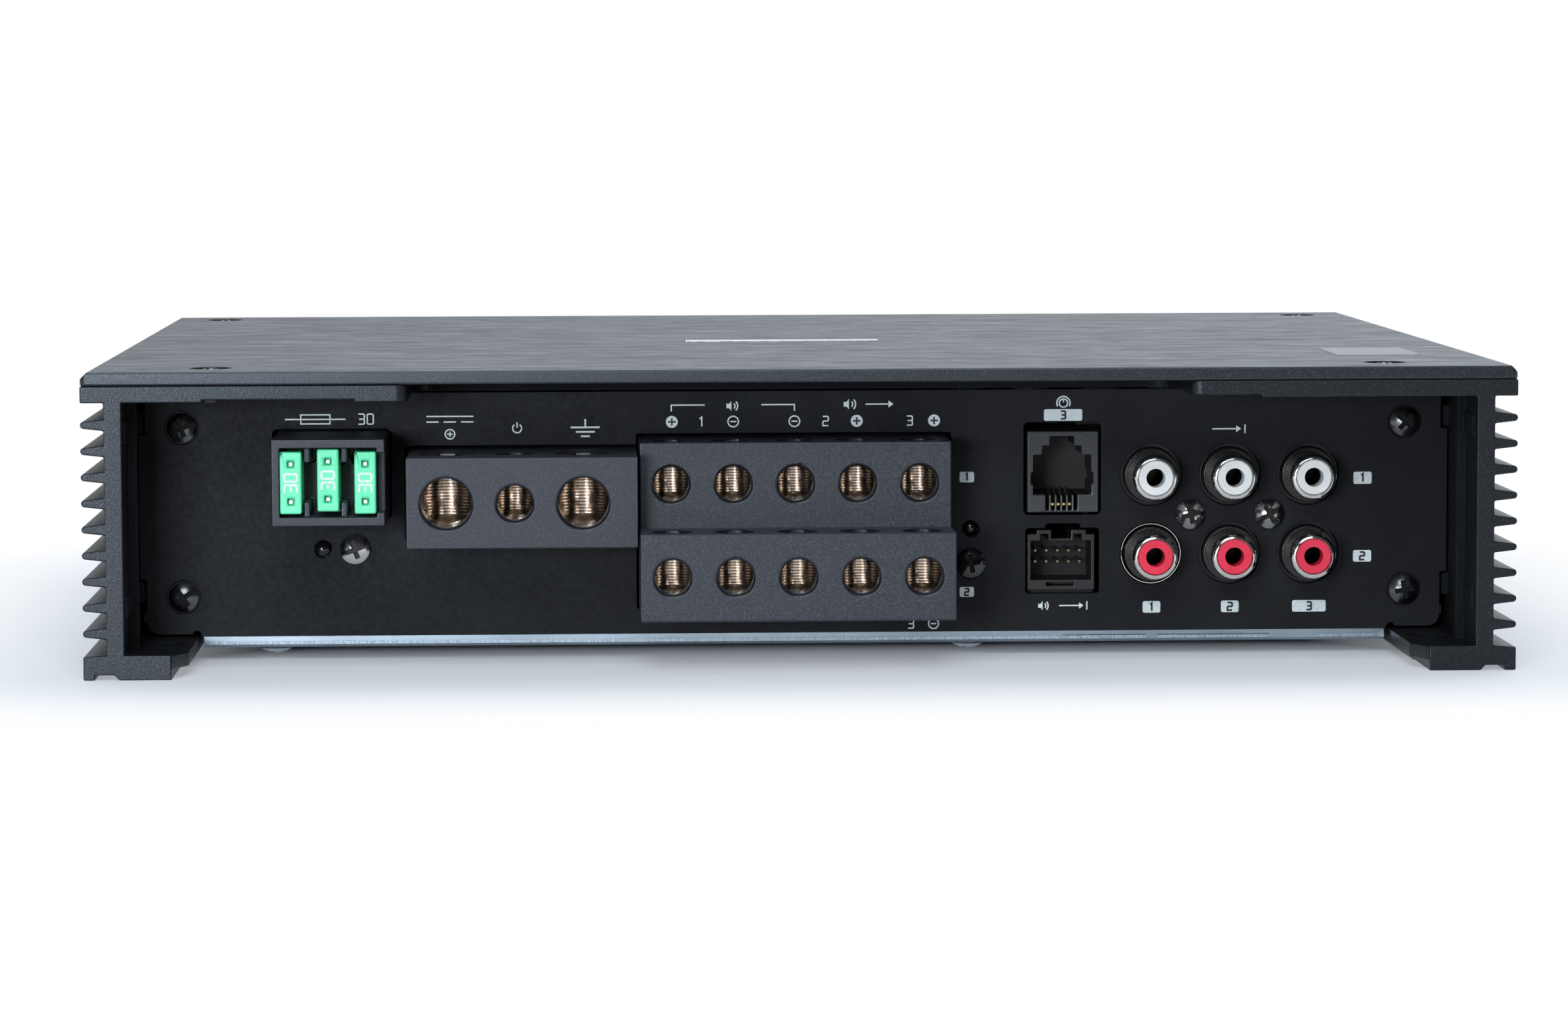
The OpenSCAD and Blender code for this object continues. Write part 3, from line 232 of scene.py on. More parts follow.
def lid_finish(name, edge_colour, top_colour):
    """Coarse paint on the edges, streaks of brushing along X on the top."""
    paint = Paint(name, top_colour, 0.4, Specular_IOR_Level=0.6, Specular_Tint=COOL_SHINE)
    tone, rough, height = coarse_coat(paint, edge_colour)
    streak = paint.noise(1.0, detail=4, rough=0.75, vector=paint.place((0.09, 0.7, 1)))
    hair = paint.noise(1.0, detail=2, vector=paint.place((0.05, 5, 1)))
    top = paint.span(paint.facing("Z"), 0.9, 0.99)
    worn = paint.span(streak, 0.36, 0.64)
    brushed = paint.mix(worn, shade(top_colour, 0.3), shade(top_colour, 1.9))
    paint.colour(paint.mix(top, tone, brushed))
    paint.roughness(paint.choose(top, rough, paint.choose(worn, 0.54, 0.32)))
    brushing = paint.sum("ADD", streak, hair)
    paint.bump(paint.choose(top, height, brushing), depth_mm=0.04, strength=0.5)
    return paint


def satin_black(name, colour):
    """Satin paint on sheet, with a slight peel."""
    paint = Paint(name, colour, 0.6, Specular_IOR_Level=0.18, Specular_Tint=SOFT_SHINE)
    peel = paint.noise(1.4, detail=3, rough=0.6)
    cloud = paint.noise(0.05)
    paint.colour(paint.mix(paint.level(cloud), shade(colour, 0.7), shade(colour, 1.5)))
    paint.roughness(paint.level(peel, 0.52, 0.68))
    paint.bump(peel, depth_mm=0.012, strength=0.5)
    return paint


def moulded(name, colour, rough, grain_mm, fleck, **sockets):
    """Moulded plastic with a fine grain."""
    paint = Paint(name, colour, rough, **sockets)
    grain = paint.noise(4.6, rough=0.6)
    cloud = paint.noise(0.16)
    tone = paint.mix(paint.level(cloud), shade(colour, 0.85), shade(colour, 1.12))
    paint.colour(paint.mix(paint.span(grain, 0.56, 0.7), tone, shade(colour, fleck)))
    paint.roughness(paint.level(grain, rough * 0.85, min(1, rough * 1.2)))
    paint.bump(grain, grain_mm, strength=0.6)
    return paint


def block_plastic(name, colour, peg=None):
    """Spark-grained plastic with polished rims and painted light on the faces that look up, gloss
    black past the place of a peg on an axis.
    """
    paint = Paint(name, colour, 0.5, Specular_Tint=SOFT_SHINE)
    grain = paint.noise(4.2, rough=0.65)
    cloud = paint.noise(0.16)
    turn = paint.sum("ABSOLUTE", paint.facing("Y"))
    rim = paint.sum("MULTIPLY", paint.span(turn, 0.25, 0.35), paint.span(turn, 0.97, 0.93))
    tone = paint.mix(paint.level(cloud), shade(colour, 0.5), shade(colour, 0.62))
    tone = paint.mix(paint.span(grain, 0.48, 0.66), tone, shade(colour, 2.6))
    # painted light: faces that look up are made lighter, as if lit from above
    tone = paint.mix(paint.span(paint.facing("Z"), 0.9, 0.98), tone, shade(colour, 2.6))
    tone = paint.mix(rim, tone, shade(colour, 0.5))
    dull = paint.choose(rim, paint.level(grain, 0.44, 0.62), 0.2)
    if peg:
        axis, low, high = peg
        black = paint.span(paint.along(axis), low, high)
        tone = paint.mix(black, tone, PEG_BLACK)
        dull = paint.choose(black, dull, 0.12)
    paint.colour(tone)
    paint.roughness(dull)
    paint.bump(grain, depth_mm=0.035, strength=0.6)
    return paint


def bright_metal(name, colour, rough, stretch=(0.5, 5, 5)):
    """Bare or plated metal with faint clouds and fine scratches."""
    paint = Paint(name, colour, rough, metallic=1.0)
    wear = paint.noise(0.7, detail=4, rough=0.6)
    scratch = paint.noise(1.0, vector=paint.place(stretch))
    paint.colour(paint.mix(paint.level(wear), shade(colour, 0.86), shade(colour, 1.04)))
    paint.roughness(paint.span(wear, 0.25, 0.75, rough * 0.75, rough * 1.4))
    paint.bump(scratch, depth_mm=0.004, strength=0.35)
    return paint


def screw_metal(name, colour, rough, axis, tones=()):
    """Plated screw whose head faces along an axis, with painted shade in its cross recess.

    Tones are pairs of a place on X and the colour of the screws past it."""
    paint = Paint(name, colour, rough, metallic=1.0)
    wear = paint.noise(1.2, detail=3, rough=0.6)
    turn = paint.sum("ABSOLUTE", paint.facing(axis))
    # painted shade: faces that look straight along the axis, as the recess floor, and walls that
    # run along it are darkened towards near black
    recess_shade = paint.sum("MAXIMUM", paint.span(turn, 0.995, 0.9995), paint.span(turn, 0.3, 0.2))
    tone = colour
    for x, light in tones:
        tone = paint.mix(paint.span(paint.along("X"), x - 1, x + 1), tone, light)
    if not tones:
        tone = paint.mix(paint.level(wear), shade(colour, 0.85), shade(colour, 1.08))
    paint.colour(paint.mix(paint.sum("MULTIPLY", recess_shade, RECESS_SHADE_SHARE), tone, RECESS_SHADE_BLACK))
    paint.roughness(paint.choose(recess_shade, paint.level(wear, rough * 0.8, rough * 1.3), 0.8))
    paint.bump(wear, depth_mm=0.004, strength=0.4)
    return paint


def zinc_plate(name, colour):
    """Zinc plated sheet with a bluish cast, and a rough bright strip where it was sheared."""
    paint = Paint(name, colour, 0.4, metallic=1.0)
    cast = paint.noise(0.06, detail=3)
    grain = paint.noise(2.5, detail=3, rough=0.6)
    tear = paint.noise(1.0, detail=3, rough=0.7, vector=paint.place((4, 4, 1.2)))
    sheared = paint.span(paint.sum("ABSOLUTE", paint.along("Y")),
                         *[depth - PANEL_Y for depth in SHEAR_DEPTH])
    tone = paint.mix(paint.span(cast, 0.35, 0.65), shade(colour, 0.85), shade(colour, 1.1))
    torn = paint.mix(paint.span(tear, 0.35, 0.6), shade(colour, 0.7), shade(colour, 1.35))
    paint.colour(paint.mix(sheared, tone, torn))
    paint.roughness(paint.choose(sheared, paint.level(grain, 0.34, 0.5), 0.55))
    height = paint.choose(sheared, grain, paint.sum("MULTIPLY", tear, 4))
    paint.bump(height, depth_mm=0.015, strength=0.5)
    return paint


def socket_black(name, colour):
    """Gloss black moulding, dull inside its opening and darkened there with painted shade."""
    paint = Paint(name, colour, 0.25)
    grain = paint.noise(4.6, rough=0.6)
    # painted shade: deeper inside the opening the colour sinks to a sixth, where shade falls
    deep = paint.span(paint.along("Y"), *[PANEL_Y + depth for depth in SOCKET_SHADE_DEPTH])
    tone = paint.mix(paint.level(grain), shade(colour, 0.85), shade(colour, 1.15))
    paint.colour(paint.mix(deep, tone, shade(colour, 0.16)))
    paint.roughness(paint.choose(deep, paint.level(grain, 0.2, 0.32), 0.6))
    paint.bump(grain, depth_mm=0.006, strength=0.5)
    return paint


def circuit_board(name, mask, tin):
    """Solder mask over tracks, with tinned pads."""
    paint = Paint(name, mask, 0.35)
    line = paint.span(paint.cells(0.22, "MANHATTAN"), 1.4, 1.5)
    pads = paint.span(paint.cells(0.3), 0.16, 0.12)
    paint.colour(paint.mix(pads, paint.mix(line, mask, shade(mask, 2.0)), tin))
    paint.roughness(paint.level(paint.noise(2), 0.28, 0.42))
    paint.bump(line, depth_mm=0.03, strength=0.5)
    return paint


def print_ink(name, colour):
    """Screen printed ink that covers a little unevenly."""
    paint = Paint(name, colour, 0.5)
    cover = paint.noise(2.2, detail=3, rough=0.6)
    paint.colour(paint.mix(paint.level(cover), shade(colour, 0.82), shade(colour, 1.06)))
    paint.roughness(paint.level(cover, 0.42, 0.58))
    paint.bump(cover, depth_mm=0.006, strength=0.4)
    return paint


# materials of the CAD nodes

CHARCOAL = (0.0085, 0.0089, 0.0105)
LID_EDGE = (0.011, 0.0115, 0.0138)
LID_TOP = (0.062, 0.064, 0.072)
PANEL_BLACK = (0.0085, 0.0087, 0.0103)
ZINC = (0.3, 0.355, 0.41)
ZINC_SCREW = (0.72, 0.8, 0.86)
SILVER = (0.72, 0.71, 0.69)
BLACK_SCREW = (0.14, 0.14, 0.144)
CHROME_SCREW = (0.6, 0.59, 0.58)
CHROME_TONES = ((0, (0.09, 0.09, 0.09)), (50, (0.3, 0.295, 0.29)))
BLOCK_GREY = (0.0255, 0.0272, 0.0355)
SPEAKER_PEG = ("X", 27.5, 28.5)
HOLDER_PEG = ("Z", 24.5, 23.5)
PORT_METAL = (0.64, 0.56, 0.49)
CLAMP_STEEL = (0.16, 0.155, 0.15)
BRASS = (0.7, 0.55, 0.3)
FUSE_GREEN = (0.15, 0.88, 0.48)
FUSE_SCATTER = (0.0004, 0.001, 0.0006)
JACK_BLACK = (0.045, 0.046, 0.052)
GLOSS_BLACK = (0.012, 0.0125, 0.0145)
COLLAR_BLACK = (0.006, 0.006, 0.007)
CONTACT_GOLD = (0.85, 0.62, 0.26)
PIN_GOLD = (0.3, 0.24, 0.14)
NICKEL = (0.74, 0.72, 0.69)
CONTACT_DARK = (0.05, 0.048, 0.045)
INSERT_WHITE = (0.97, 0.97, 0.96)
INSERT_RED = (0.95, 0.035, 0.085)
BOARD_GREEN = (0.003, 0.018, 0.009)
BOARD_TIN = (0.5, 0.48, 0.42)
EPOXY_BLACK = (0.015, 0.015, 0.016)
KNOB_GREY = (0.6, 0.6, 0.58)
SLEEVE_BLUE = (0.012, 0.018, 0.05)
FERRITE = (0.02, 0.02, 0.021)


def dress(paint, *names):
    """Gives a material to CAD nodes: a name that ends in a star stands for a group."""
    for name in names:
        group = [n for n in NODES if n.startswith(name[:-1])] if name.endswith("*") else [name]
        for node in group:
            NODES[node].data.materials.clear()
            NODES[node].data.materials.append(paint.material)


def dress_body():
    dress(chassis_paint("chassis_paint", CHARCOAL), "chassis")
    dress(lid_finish("lid_finish", LID_EDGE, LID_TOP), "lid")
    dress(satin_black("panel_black", PANEL_BLACK), "terminal_panel", "rear_panel")
    dress(zinc_plate("zinc_plate", ZINC), "bottom_cover", "transistor_clamps")
    dress(screw_metal("screw_zinc", ZINC_SCREW, 0.36, "Z"), "bottom_screws")
    dress(bright_metal("badge_silver", SILVER, 0.2), "lid_badge")
    dress(screw_metal("screw_silver", SILVER, 0.2, "Z"), "lid_screws")
    dress(screw_metal("screw_black", BLACK_SCREW, 0.26, "Y"), "panel_screws")
    dress(screw_metal("screw_chrome", CHROME_SCREW, 0.16, "Y", CHROME_TONES), "block_screws")


def dress_terminals():
    dress(block_plastic("power_plastic", BLOCK_GREY), "power_block")
    dress(block_plastic("speaker_plastic", BLOCK_GREY, SPEAKER_PEG), "speaker_block")
    dress(block_plastic("holder_plastic", BLOCK_GREY, HOLDER_PEG), "fuse_holder")
    dress(bright_metal("port_metal", PORT_METAL, 0.16), "wire_inserts")
    dress(bright_metal("clamp_steel", CLAMP_STEEL, 0.35), "power_clamp_screw_*",
          "speaker_clamp_screw_*")
    dress(bright_metal("clip_brass", BRASS, 0.28), "fuse_clips", "board_spacers")
    green = moulded("fuse_green", FUSE_GREEN, 0.25, grain_mm=0.01, fleck=1.1,
                    Subsurface_Weight=0.15, Subsurface_Radius=FUSE_SCATTER)
    dress(green, "fuse_1", "fuse_2", "fuse_3")


def dress_jacks():
    dress(socket_black("jack_black", JACK_BLACK), "remote_jack")
    dress(socket_black("gloss_black", GLOSS_BLACK), "level_socket", "board_link")
    dress(socket_black("collar_black", COLLAR_BLACK), "rca_housing")
    dress(bright_metal("contact_gold", CONTACT_GOLD, 0.18), "remote_jack_wires")
    dress(bright_metal("pin_gold", PIN_GOLD, 0.35), "level_pins")
    dress(bright_metal("polished_nickel", NICKEL, 0.1), "rca_shells")
    dress(bright_metal("contact_dark", CONTACT_DARK, 0.4), "rca_contacts")
    dress(moulded("white_plastic", INSERT_WHITE, 0.22, grain_mm=0.004, fleck=1.03),
          "rca_white_inserts")
    dress(moulded("red_plastic", INSERT_RED, 0.22, grain_mm=0.004, fleck=1.05),
          "rca_red_inserts")


def dress_inside():
    dress(circuit_board("circuit_board", BOARD_GREEN, BOARD_TIN), "main_board", "control_board")
    dress(moulded("epoxy_black", EPOXY_BLACK, 0.5, grain_mm=0.03, fleck=1.5),
          "power_transistors", "switch_bodies", "trimmer_bodies")
    dress(moulded("knob_plastic", KNOB_GREY, 0.4, grain_mm=0.02, fleck=1.2),
          "trimmer_knob_*", "switch_slider_*")
    dress(moulded("capacitor_sleeve", SLEEVE_BLUE, 0.3, grain_mm=0.01, fleck=1.2),
          "reservoir_capacitors")
    dress(moulded("ferrite", FERRITE, 0.6, grain_mm=0.05, fleck=1.6), "output_coils")


# rounded edges of the CAD nodes

WELD_REACH = 1e-6
FLAT_ANGLE = math.radians(0.2)
EDGE_ANGLE = math.radians(32)
EDGE_SEGMENTS = 2
EDGE_ROUNDS = {
    "chassis": 0.25, "lid": 0.15, "terminal_panel": 0.12, "rear_panel": 0.12,
    "power_block": 0.25, "speaker_block": 0.25, "fuse_holder": 0.2,
    "fuse_1": 0.35, "fuse_2": 0.35, "fuse_3": 0.35, "remote_jack": 0.2, "level_socket": 0.1,
    "rca_housing": 0.2, "rca_shells": 0.2, "lid_badge": 0.12, "output_coils": 0.9,
    "reservoir_capacitors": 0.7, "power_transistors": 0.2, "trimmer_bodies": 0.2,
    "switch_bodies": 0.2,
}


def smooth_group(name, sharp_angle):
    """Geometry nodes that shade faces smooth, up to edges sharper than an angle."""
    group = bpy.data.node_groups.new(name, "GeometryNodeTree")
    for way in ("INPUT", "OUTPUT"):
        group.interface.new_socket("Geometry", in_out=way, socket_type="NodeSocketGeometry")
    start = group.nodes.new("NodeGroupInput")
    smooth = group.nodes.new("GeometryNodeSetShadeSmooth")
    sharp = group.nodes.new("GeometryNodeSetShadeSmooth")
    sharp.domain = "EDGE"
    sharp.inputs["Shade Smooth"].default_value = False
    over = group.nodes.new("FunctionNodeCompare")
    over.operation = "GREATER_THAN"
    over.inputs["B"].default_value = sharp_angle
    angle = group.nodes.new("GeometryNodeInputMeshEdgeAngle")
    end = group.nodes.new("NodeGroupOutput")
    group.links.new(start.outputs[0], smooth.inputs["Geometry"])
    group.links.new(smooth.outputs[0], sharp.inputs["Geometry"])
    group.links.new(angle.outputs["Unsigned Angle"], over.inputs["A"])
    group.links.new(over.outputs["Result"], sharp.inputs["Selection"])
    group.links.new(sharp.outputs[0], end.inputs[0])
    return group


def round_edges(obj, width_mm, smooth):
    """Fine rounded edges by modifiers, so the mesh itself stays as it is."""
    obj.modifiers.new("weld", "WELD").merge_threshold = WELD_REACH
    flat = obj.modifiers.new("flat_faces", "DECIMATE")
    flat.decimate_type = "DISSOLVE"
    flat.angle_limit = FLAT_ANGLE
    edge = obj.modifiers.new("edges", "BEVEL")
    edge.width = width_mm * MM
    edge.segments = EDGE_SEGMENTS
    edge.limit_method = "ANGLE"
    edge.angle_limit = EDGE_ANGLE
    edge.use_clamp_overlap = False
    obj.modifiers.new("smooth", "NODES").node_group = smooth
    obj.modifiers.new("normals", "WEIGHTED_NORMAL").keep_sharp = False


def smooth_faces(obj, smooth):
    """Smooth round faces between sharp edges."""
    obj.modifiers.new("weld", "WELD").merge_threshold = WELD_REACH
    obj.modifiers.new("smooth", "NODES").node_group = smooth


def round_all():
    smooth = smooth_group("smooth_all", math.pi)
    sharp = smooth_group("smooth_round", EDGE_ANGLE)
    for name, obj in NODES.items():
        if name in EDGE_ROUNDS:
            round_edges(obj, EDGE_ROUNDS[name], smooth)
        else:
            smooth_faces(obj, sharp)


# strokes and fills of the printed marks

DIGITS = {
    "0": [((0.1, 0), (0.5, 0), (0.6, 0.1), (0.6, 0.9), (0.5, 1), (0.1, 1), (0, 0.9), (0, 0.1))],
    "1": [((0.12, 0.8), (0.34, 1), (0.34, 0))],
    "2": [((0, 1), (0.5, 1), (0.6, 0.9), (0.6, 0.6), (0.5, 0.5), (0.1, 0.5), (0, 0.4), (0, 0),
           (0.6, 0))],
    "3": [((0, 1), (0.5, 1), (0.6, 0.9), (0.6, 0.6), (0.52, 0.5), (0.6, 0.4), (0.6, 0.1), (0.5, 0),
           (0, 0)), ((0.08, 0.5), (0.47, 0.5))],
}
CLOSED_DIGITS = "0"
DIGIT_W = 0.6
DIGIT_GAP = 0.28
ARC_STEPS = 24
CORNER_ARC_STEPS = 4
SOUND_ARC_STEPS = 8
SOUND_ARC = (-45, 45)
SOUND_RADII = (0.7, 1.25)
SPEAKER_BOX = 0.45
ARROW_HALF = 0.7


def add_object(name, data):
    made = bpy.data.objects.new(name, data)
    scene.collection.objects.link(made)
    return made


def add_mesh(name, points, faces):
    data = bpy.data.meshes.new(name)
    data.from_pydata(points, [], faces)
    return add_object(name, data)


def arc(x, z, r, start=0, end=360, steps=ARC_STEPS):
    angles = [math.radians(start + (end - start) * i / steps) for i in range(steps + 1)]
    return [(x + r * math.cos(a), z + r * math.sin(a)) for a in angles]


class Print:
    """Flat marks in millimetres, made into one thin piece."""

    def __init__(self, name, paint, body, to_world, thick_mm):
        self.name, self.paint, self.body = name, paint, body
        self.to_world, self.thick_mm = to_world, thick_mm
        self.mesh = bmesh.new()

    def fill(self, points):
        """A face inside an outline, which may end where it starts."""
        outline = points[:-1] if points[0] == points[-1] else points
        self.mesh.faces.new([self.mesh.verts.new(self.to_world(*p)) for p in outline])

    def line(self, points, width, closed=False):
        """A stroke with mitred corners."""
        count = len(points)
        sides = []
        for i, (x, z) in enumerate(points):
            before = points[i - 1] if i or closed else None
            after = points[(i + 1) % count] if i + 1 < count or closed else None
            ways = [Vector((b[0] - a[0], b[1] - a[1])).normalized()
                    for a, b in ((before, (x, z)), ((x, z), after)) if a and b]
            across = [Vector((-w.y, w.x)) for w in ways]
            mitre = sum(across, Vector((0, 0))).normalized()
            reach = width / 2 / mitre.dot(across[0])
            sides.append(((x + mitre.x * reach, z + mitre.y * reach),
                          (x - mitre.x * reach, z - mitre.y * reach)))
        rims = [[self.mesh.verts.new(self.to_world(*p)) for p in pair] for pair in sides]
        for i in range(count if closed else count - 1):
            (a, b), (c, d) = rims[i], rims[(i + 1) % count]
            self.mesh.faces.new((a, b, d, c))

    def ring(self, x, z, r, width):
        self.line(arc(x, z, r)[:-1], width, closed=True)

    def disc(self, x, z, r):
        self.fill(arc(x, z, r))

    def tag(self, x0, x1, z0, z1, r):
        """A filled rectangle with round corners."""
        corners = ((x1 - r, z0 + r, 270), (x1 - r, z1 - r, 0), (x0 + r, z1 - r, 90),
                   (x0 + r, z0 + r, 180))
        self.fill([p for x, z, a in corners
                   for p in arc(x, z, r, a, a + 90, CORNER_ARC_STEPS)])

    def number(self, text, x, z, height, width, turn=0):
        """Plain digits centred on a point, turned about it."""
        step = (DIGIT_W + DIGIT_GAP) * height
        start = -((len(text) - 1) * step + DIGIT_W * height) / 2
        cos, sin = math.cos(math.radians(turn)), math.sin(math.radians(turn))
        for i, digit in enumerate(text):
            for stroke in DIGITS[digit]:
                flat = [(start + i * step + u * height, (v - 0.5) * height) for u, v in stroke]
                self.line([(x + u * cos - v * sin, z + u * sin + v * cos) for u, v in flat],
                          width, digit in CLOSED_DIGITS)

    def dash(self, x, z, half, width):
        """A level stroke to both sides of a point."""
        self.line([(x - half, z), (x + half, z)], width)

    def bar(self, x, low, high, width):
        """An upright stroke."""
        self.line([(x, low), (x, high)], width)

    def plus(self, x, z, half, width):
        self.dash(x, z, half, width)
        self.bar(x, z + width / 2, z + half, width)
        self.bar(x, z - width / 2, z - half, width)

    def arrow(self, x, z, length, size, width):
        """An arrow that points along +X from its tail."""
        neck = x + length - size
        self.line([(x, z), (neck, z)], width)
        self.fill([(neck, z - size * ARROW_HALF), (x + length, z), (neck, z + size * ARROW_HALF)])

    def speaker(self, x, z, size, width):
        """A loudspeaker with two arcs of sound."""
        box = size * SPEAKER_BOX
        self.fill([(x - size, z - box), (x - box, z - box), (x - box, z + box),
                   (x - size, z + box)])
        self.fill([(x - box, z - box), (x, z - size), (x, z + size), (x - box, z + box)])
        for r in SOUND_RADII:
            self.line(arc(x, z, size * r, *SOUND_ARC, SOUND_ARC_STEPS), width)

    def make(self):
        data = bpy.data.meshes.new(self.name)
        self.mesh.normal_update()
        self.mesh.to_mesh(data)
        self.mesh.free()
        data.materials.append(self.paint.material)
        piece = add_object(self.name, data)
        thick = piece.modifiers.new("thick", "SOLIDIFY")
        thick.thickness = self.thick_mm * MM
        thick.offset = 0
        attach(piece, self.body)


# printed marks, in millimetres on X and Z

INK_THICK = 0.04
INK_LINE = 0.24
PALE_INK = (0.8, 0.86, 0.88)
DARK_INK = (0.006, 0.0065, 0.0075)
WHITE_INK = (0.85, 0.9, 0.87)

FUSE_SIGN_X = (-91.4, -88.6, -83.4, -80.6)
FUSE_SIGN_Z = 43.3
FUSE_SIGN_HALF = 0.8
FUSE_SIGN_INSET = 0.1
FUSE_RATING = "30"
RATING_X = -77
RATING_HEIGHT = 1.8

DIRECT_X = (-66.2, -57.8)
DIRECT_Z = (43.7, 42.7)
DIRECT_DASHES = 3
DIRECT_DASH = 2.2
DIRECT_STEP = 3.1
SUPPLY_PLUS = (-62, 40.5)
SUPPLY_PLUS_R = 0.85
SUPPLY_PLUS_HALF = 0.5

SWITCH_AT = (-50, 41.5)
SWITCH_R = 0.8
SWITCH_ARC = (-235, 55)
SWITCH_STEPS = 16
SWITCH_BAR = (41.6, 42.6)

EARTH_X = -37.8
EARTH_STEM = (43.1, 41.75)
EARTH_BARS = (2.6, 1.7, 0.8)
EARTH_BAR_Z = 41.6
EARTH_STEP = 0.8
EARTH_LINE = INK_LINE * 1.3

BRIDGE_Z = (44.4, 45.5)
BRIDGE_LEFT = (-22.4, -16.4)
BRIDGE_RIGHT = (-6.2, -0.3)
BRIDGE_SPEAKER = (-11.6, 45.3, 0.9)
OUTPUT_SPEAKER = (9.5, 45.5, 0.95)
OUTPUT_ARROW = (12.5, 45.5, 5, 0.9)
POLE_Z = 42.5
PLUS_X = (-22.3, 10.9, 24.8)
PLUS_DISC_R = 1.08
PLUS_HALF = 0.68
PLUS_LINE = 0.32
MINUS_X = (-11.3, -0.3)
MINUS_R = 0.95
MINUS_HALF = 0.55
CHANNELS = (("1", -17), ("2", 5.3), ("3", 20.4))
CHANNEL_HEIGHT = 1.65
LOW_POLE = (24.7, 5.8)
LOW_POLE_R = 0.9
LOW_POLE_HALF = 0.5
LOW_CHANNEL = ("3", 20.6, 5.8, 1.6)

REMOTE_AT = (48.1, 45.5)
REMOTE_R = 0.75
REMOTE_BAR = (45.65, 46.25)
REMOTE_SCALE_R = 1.2
REMOTE_SCALE = (-30, 210)
REMOTE_STEPS = 12
LINE_IN_ARROW = (75, 40.7, 5.2, 0.9)
LINE_IN_BAR = (80.9, 39.9, 41.5)
LEVEL_IN_SPEAKER = (44.4, 8.9, 0.8)
LEVEL_IN_ARROW = (47.4, 8.9, 4.4, 0.8)
LEVEL_IN_BAR = (52.4, 8.15, 9.65)

TAGS = (
    ("1", 29.4, 32.0, 31.3, 33.2), ("2", 29.4, 32.0, 10.6, 12.4), ("3", 44.6, 51.5, 42.3, 44.4),
    ("1", 62.5, 65.7, 7.5, 9.6), ("2", 76.7, 79.9, 7.5, 9.6), ("3", 89.6, 95.7, 7.5, 9.6),
    ("1", 100.6, 103.9, 30.6, 32.8), ("2", 100.6, 103.9, 16.5, 18.6),
)
TAG_CORNER = 0.35
TAG_DIGIT = 0.66
TAG_LINE = 0.34

FUSE_FIGURE = 2.2
FUSE_FIGURE_LINE = 0.36
FUSE_FIGURE_TURN = 90
FUSES = ("fuse_1", "fuse_2", "fuse_3")


def on_panel(lift):
    """Places a mark on the terminal panel, as many millimetres in front of it."""
    return lambda x, z: (x * MM, (PANEL_Y - lift) * MM, z * MM)


def on_front(y):
    """Places a mark on a front face whose place on Y is in metres."""
    return lambda x, z: (x * MM, y, z * MM)


def on_top(z):
    """Places a mark on a top face whose height is in metres."""
    return lambda x, y: (x * MM, y * MM, z)


def print_fuse_sign(pale):
    """A box on a line, with the rating beside it."""
    start, left, right, end = FUSE_SIGN_X
    z = FUSE_SIGN_Z
    low, high = z - FUSE_SIGN_HALF, z + FUSE_SIGN_HALF
    pale.line([(start, z), (left, z)], INK_LINE)
    pale.line([(left, low), (right, low), (right, high), (left, high)], INK_LINE, closed=True)
    pale.line([(left + FUSE_SIGN_INSET, z), (right - FUSE_SIGN_INSET, z)], INK_LINE)
    pale.line([(right, z), (end, z)], INK_LINE)
    pale.number(FUSE_RATING, RATING_X, z, RATING_HEIGHT, INK_LINE)


def print_supply_signs(pale):
    """Direct current with its plus, switch-on and earth above the supply ports."""
    (left, right), (line_z, dash_z) = DIRECT_X, DIRECT_Z
    pale.line([(left, line_z), (right, line_z)], INK_LINE)
    for i in range(DIRECT_DASHES):
        x = left + i * DIRECT_STEP
        pale.line([(x, dash_z), (x + DIRECT_DASH, dash_z)], INK_LINE)
    pale.ring(*SUPPLY_PLUS, SUPPLY_PLUS_R, INK_LINE)
    pale.plus(*SUPPLY_PLUS, SUPPLY_PLUS_HALF, INK_LINE)
    pale.line(arc(*SWITCH_AT, SWITCH_R, *SWITCH_ARC, SWITCH_STEPS), INK_LINE)
    pale.bar(SWITCH_AT[0], *SWITCH_BAR, INK_LINE)
    pale.bar(EARTH_X, *EARTH_STEM, EARTH_LINE)
    for i, half in enumerate(EARTH_BARS):
        pale.dash(EARTH_X, EARTH_BAR_Z - i * EARTH_STEP, half, EARTH_LINE)


def print_speaker_signs(pale, dark):
    """Bracket, polarity circles and channel numbers by the speaker ports."""
    low, high = BRIDGE_Z
    start, stop = BRIDGE_LEFT
    pale.line([(start, low), (start, high), (stop, high)], INK_LINE)
    start, stop = BRIDGE_RIGHT
    pale.line([(start, high), (stop, high), (stop, low)], INK_LINE)
    pale.speaker(*BRIDGE_SPEAKER, INK_LINE)
    pale.speaker(*OUTPUT_SPEAKER, INK_LINE)
    pale.arrow(*OUTPUT_ARROW, INK_LINE)
    for x in PLUS_X:
        pale.disc(x, POLE_Z, PLUS_DISC_R)
        dark.plus(x, POLE_Z, PLUS_HALF, PLUS_LINE)
    for x in MINUS_X:
        pale.ring(x, POLE_Z, MINUS_R, INK_LINE)
        pale.dash(x, POLE_Z, MINUS_HALF, INK_LINE)
    for text, x in CHANNELS:
        pale.number(text, x, POLE_Z, CHANNEL_HEIGHT, INK_LINE)
    pale.number(*LOW_CHANNEL, INK_LINE)
    pale.ring(*LOW_POLE, LOW_POLE_R, INK_LINE)
    pale.dash(*LOW_POLE, LOW_POLE_HALF, INK_LINE)


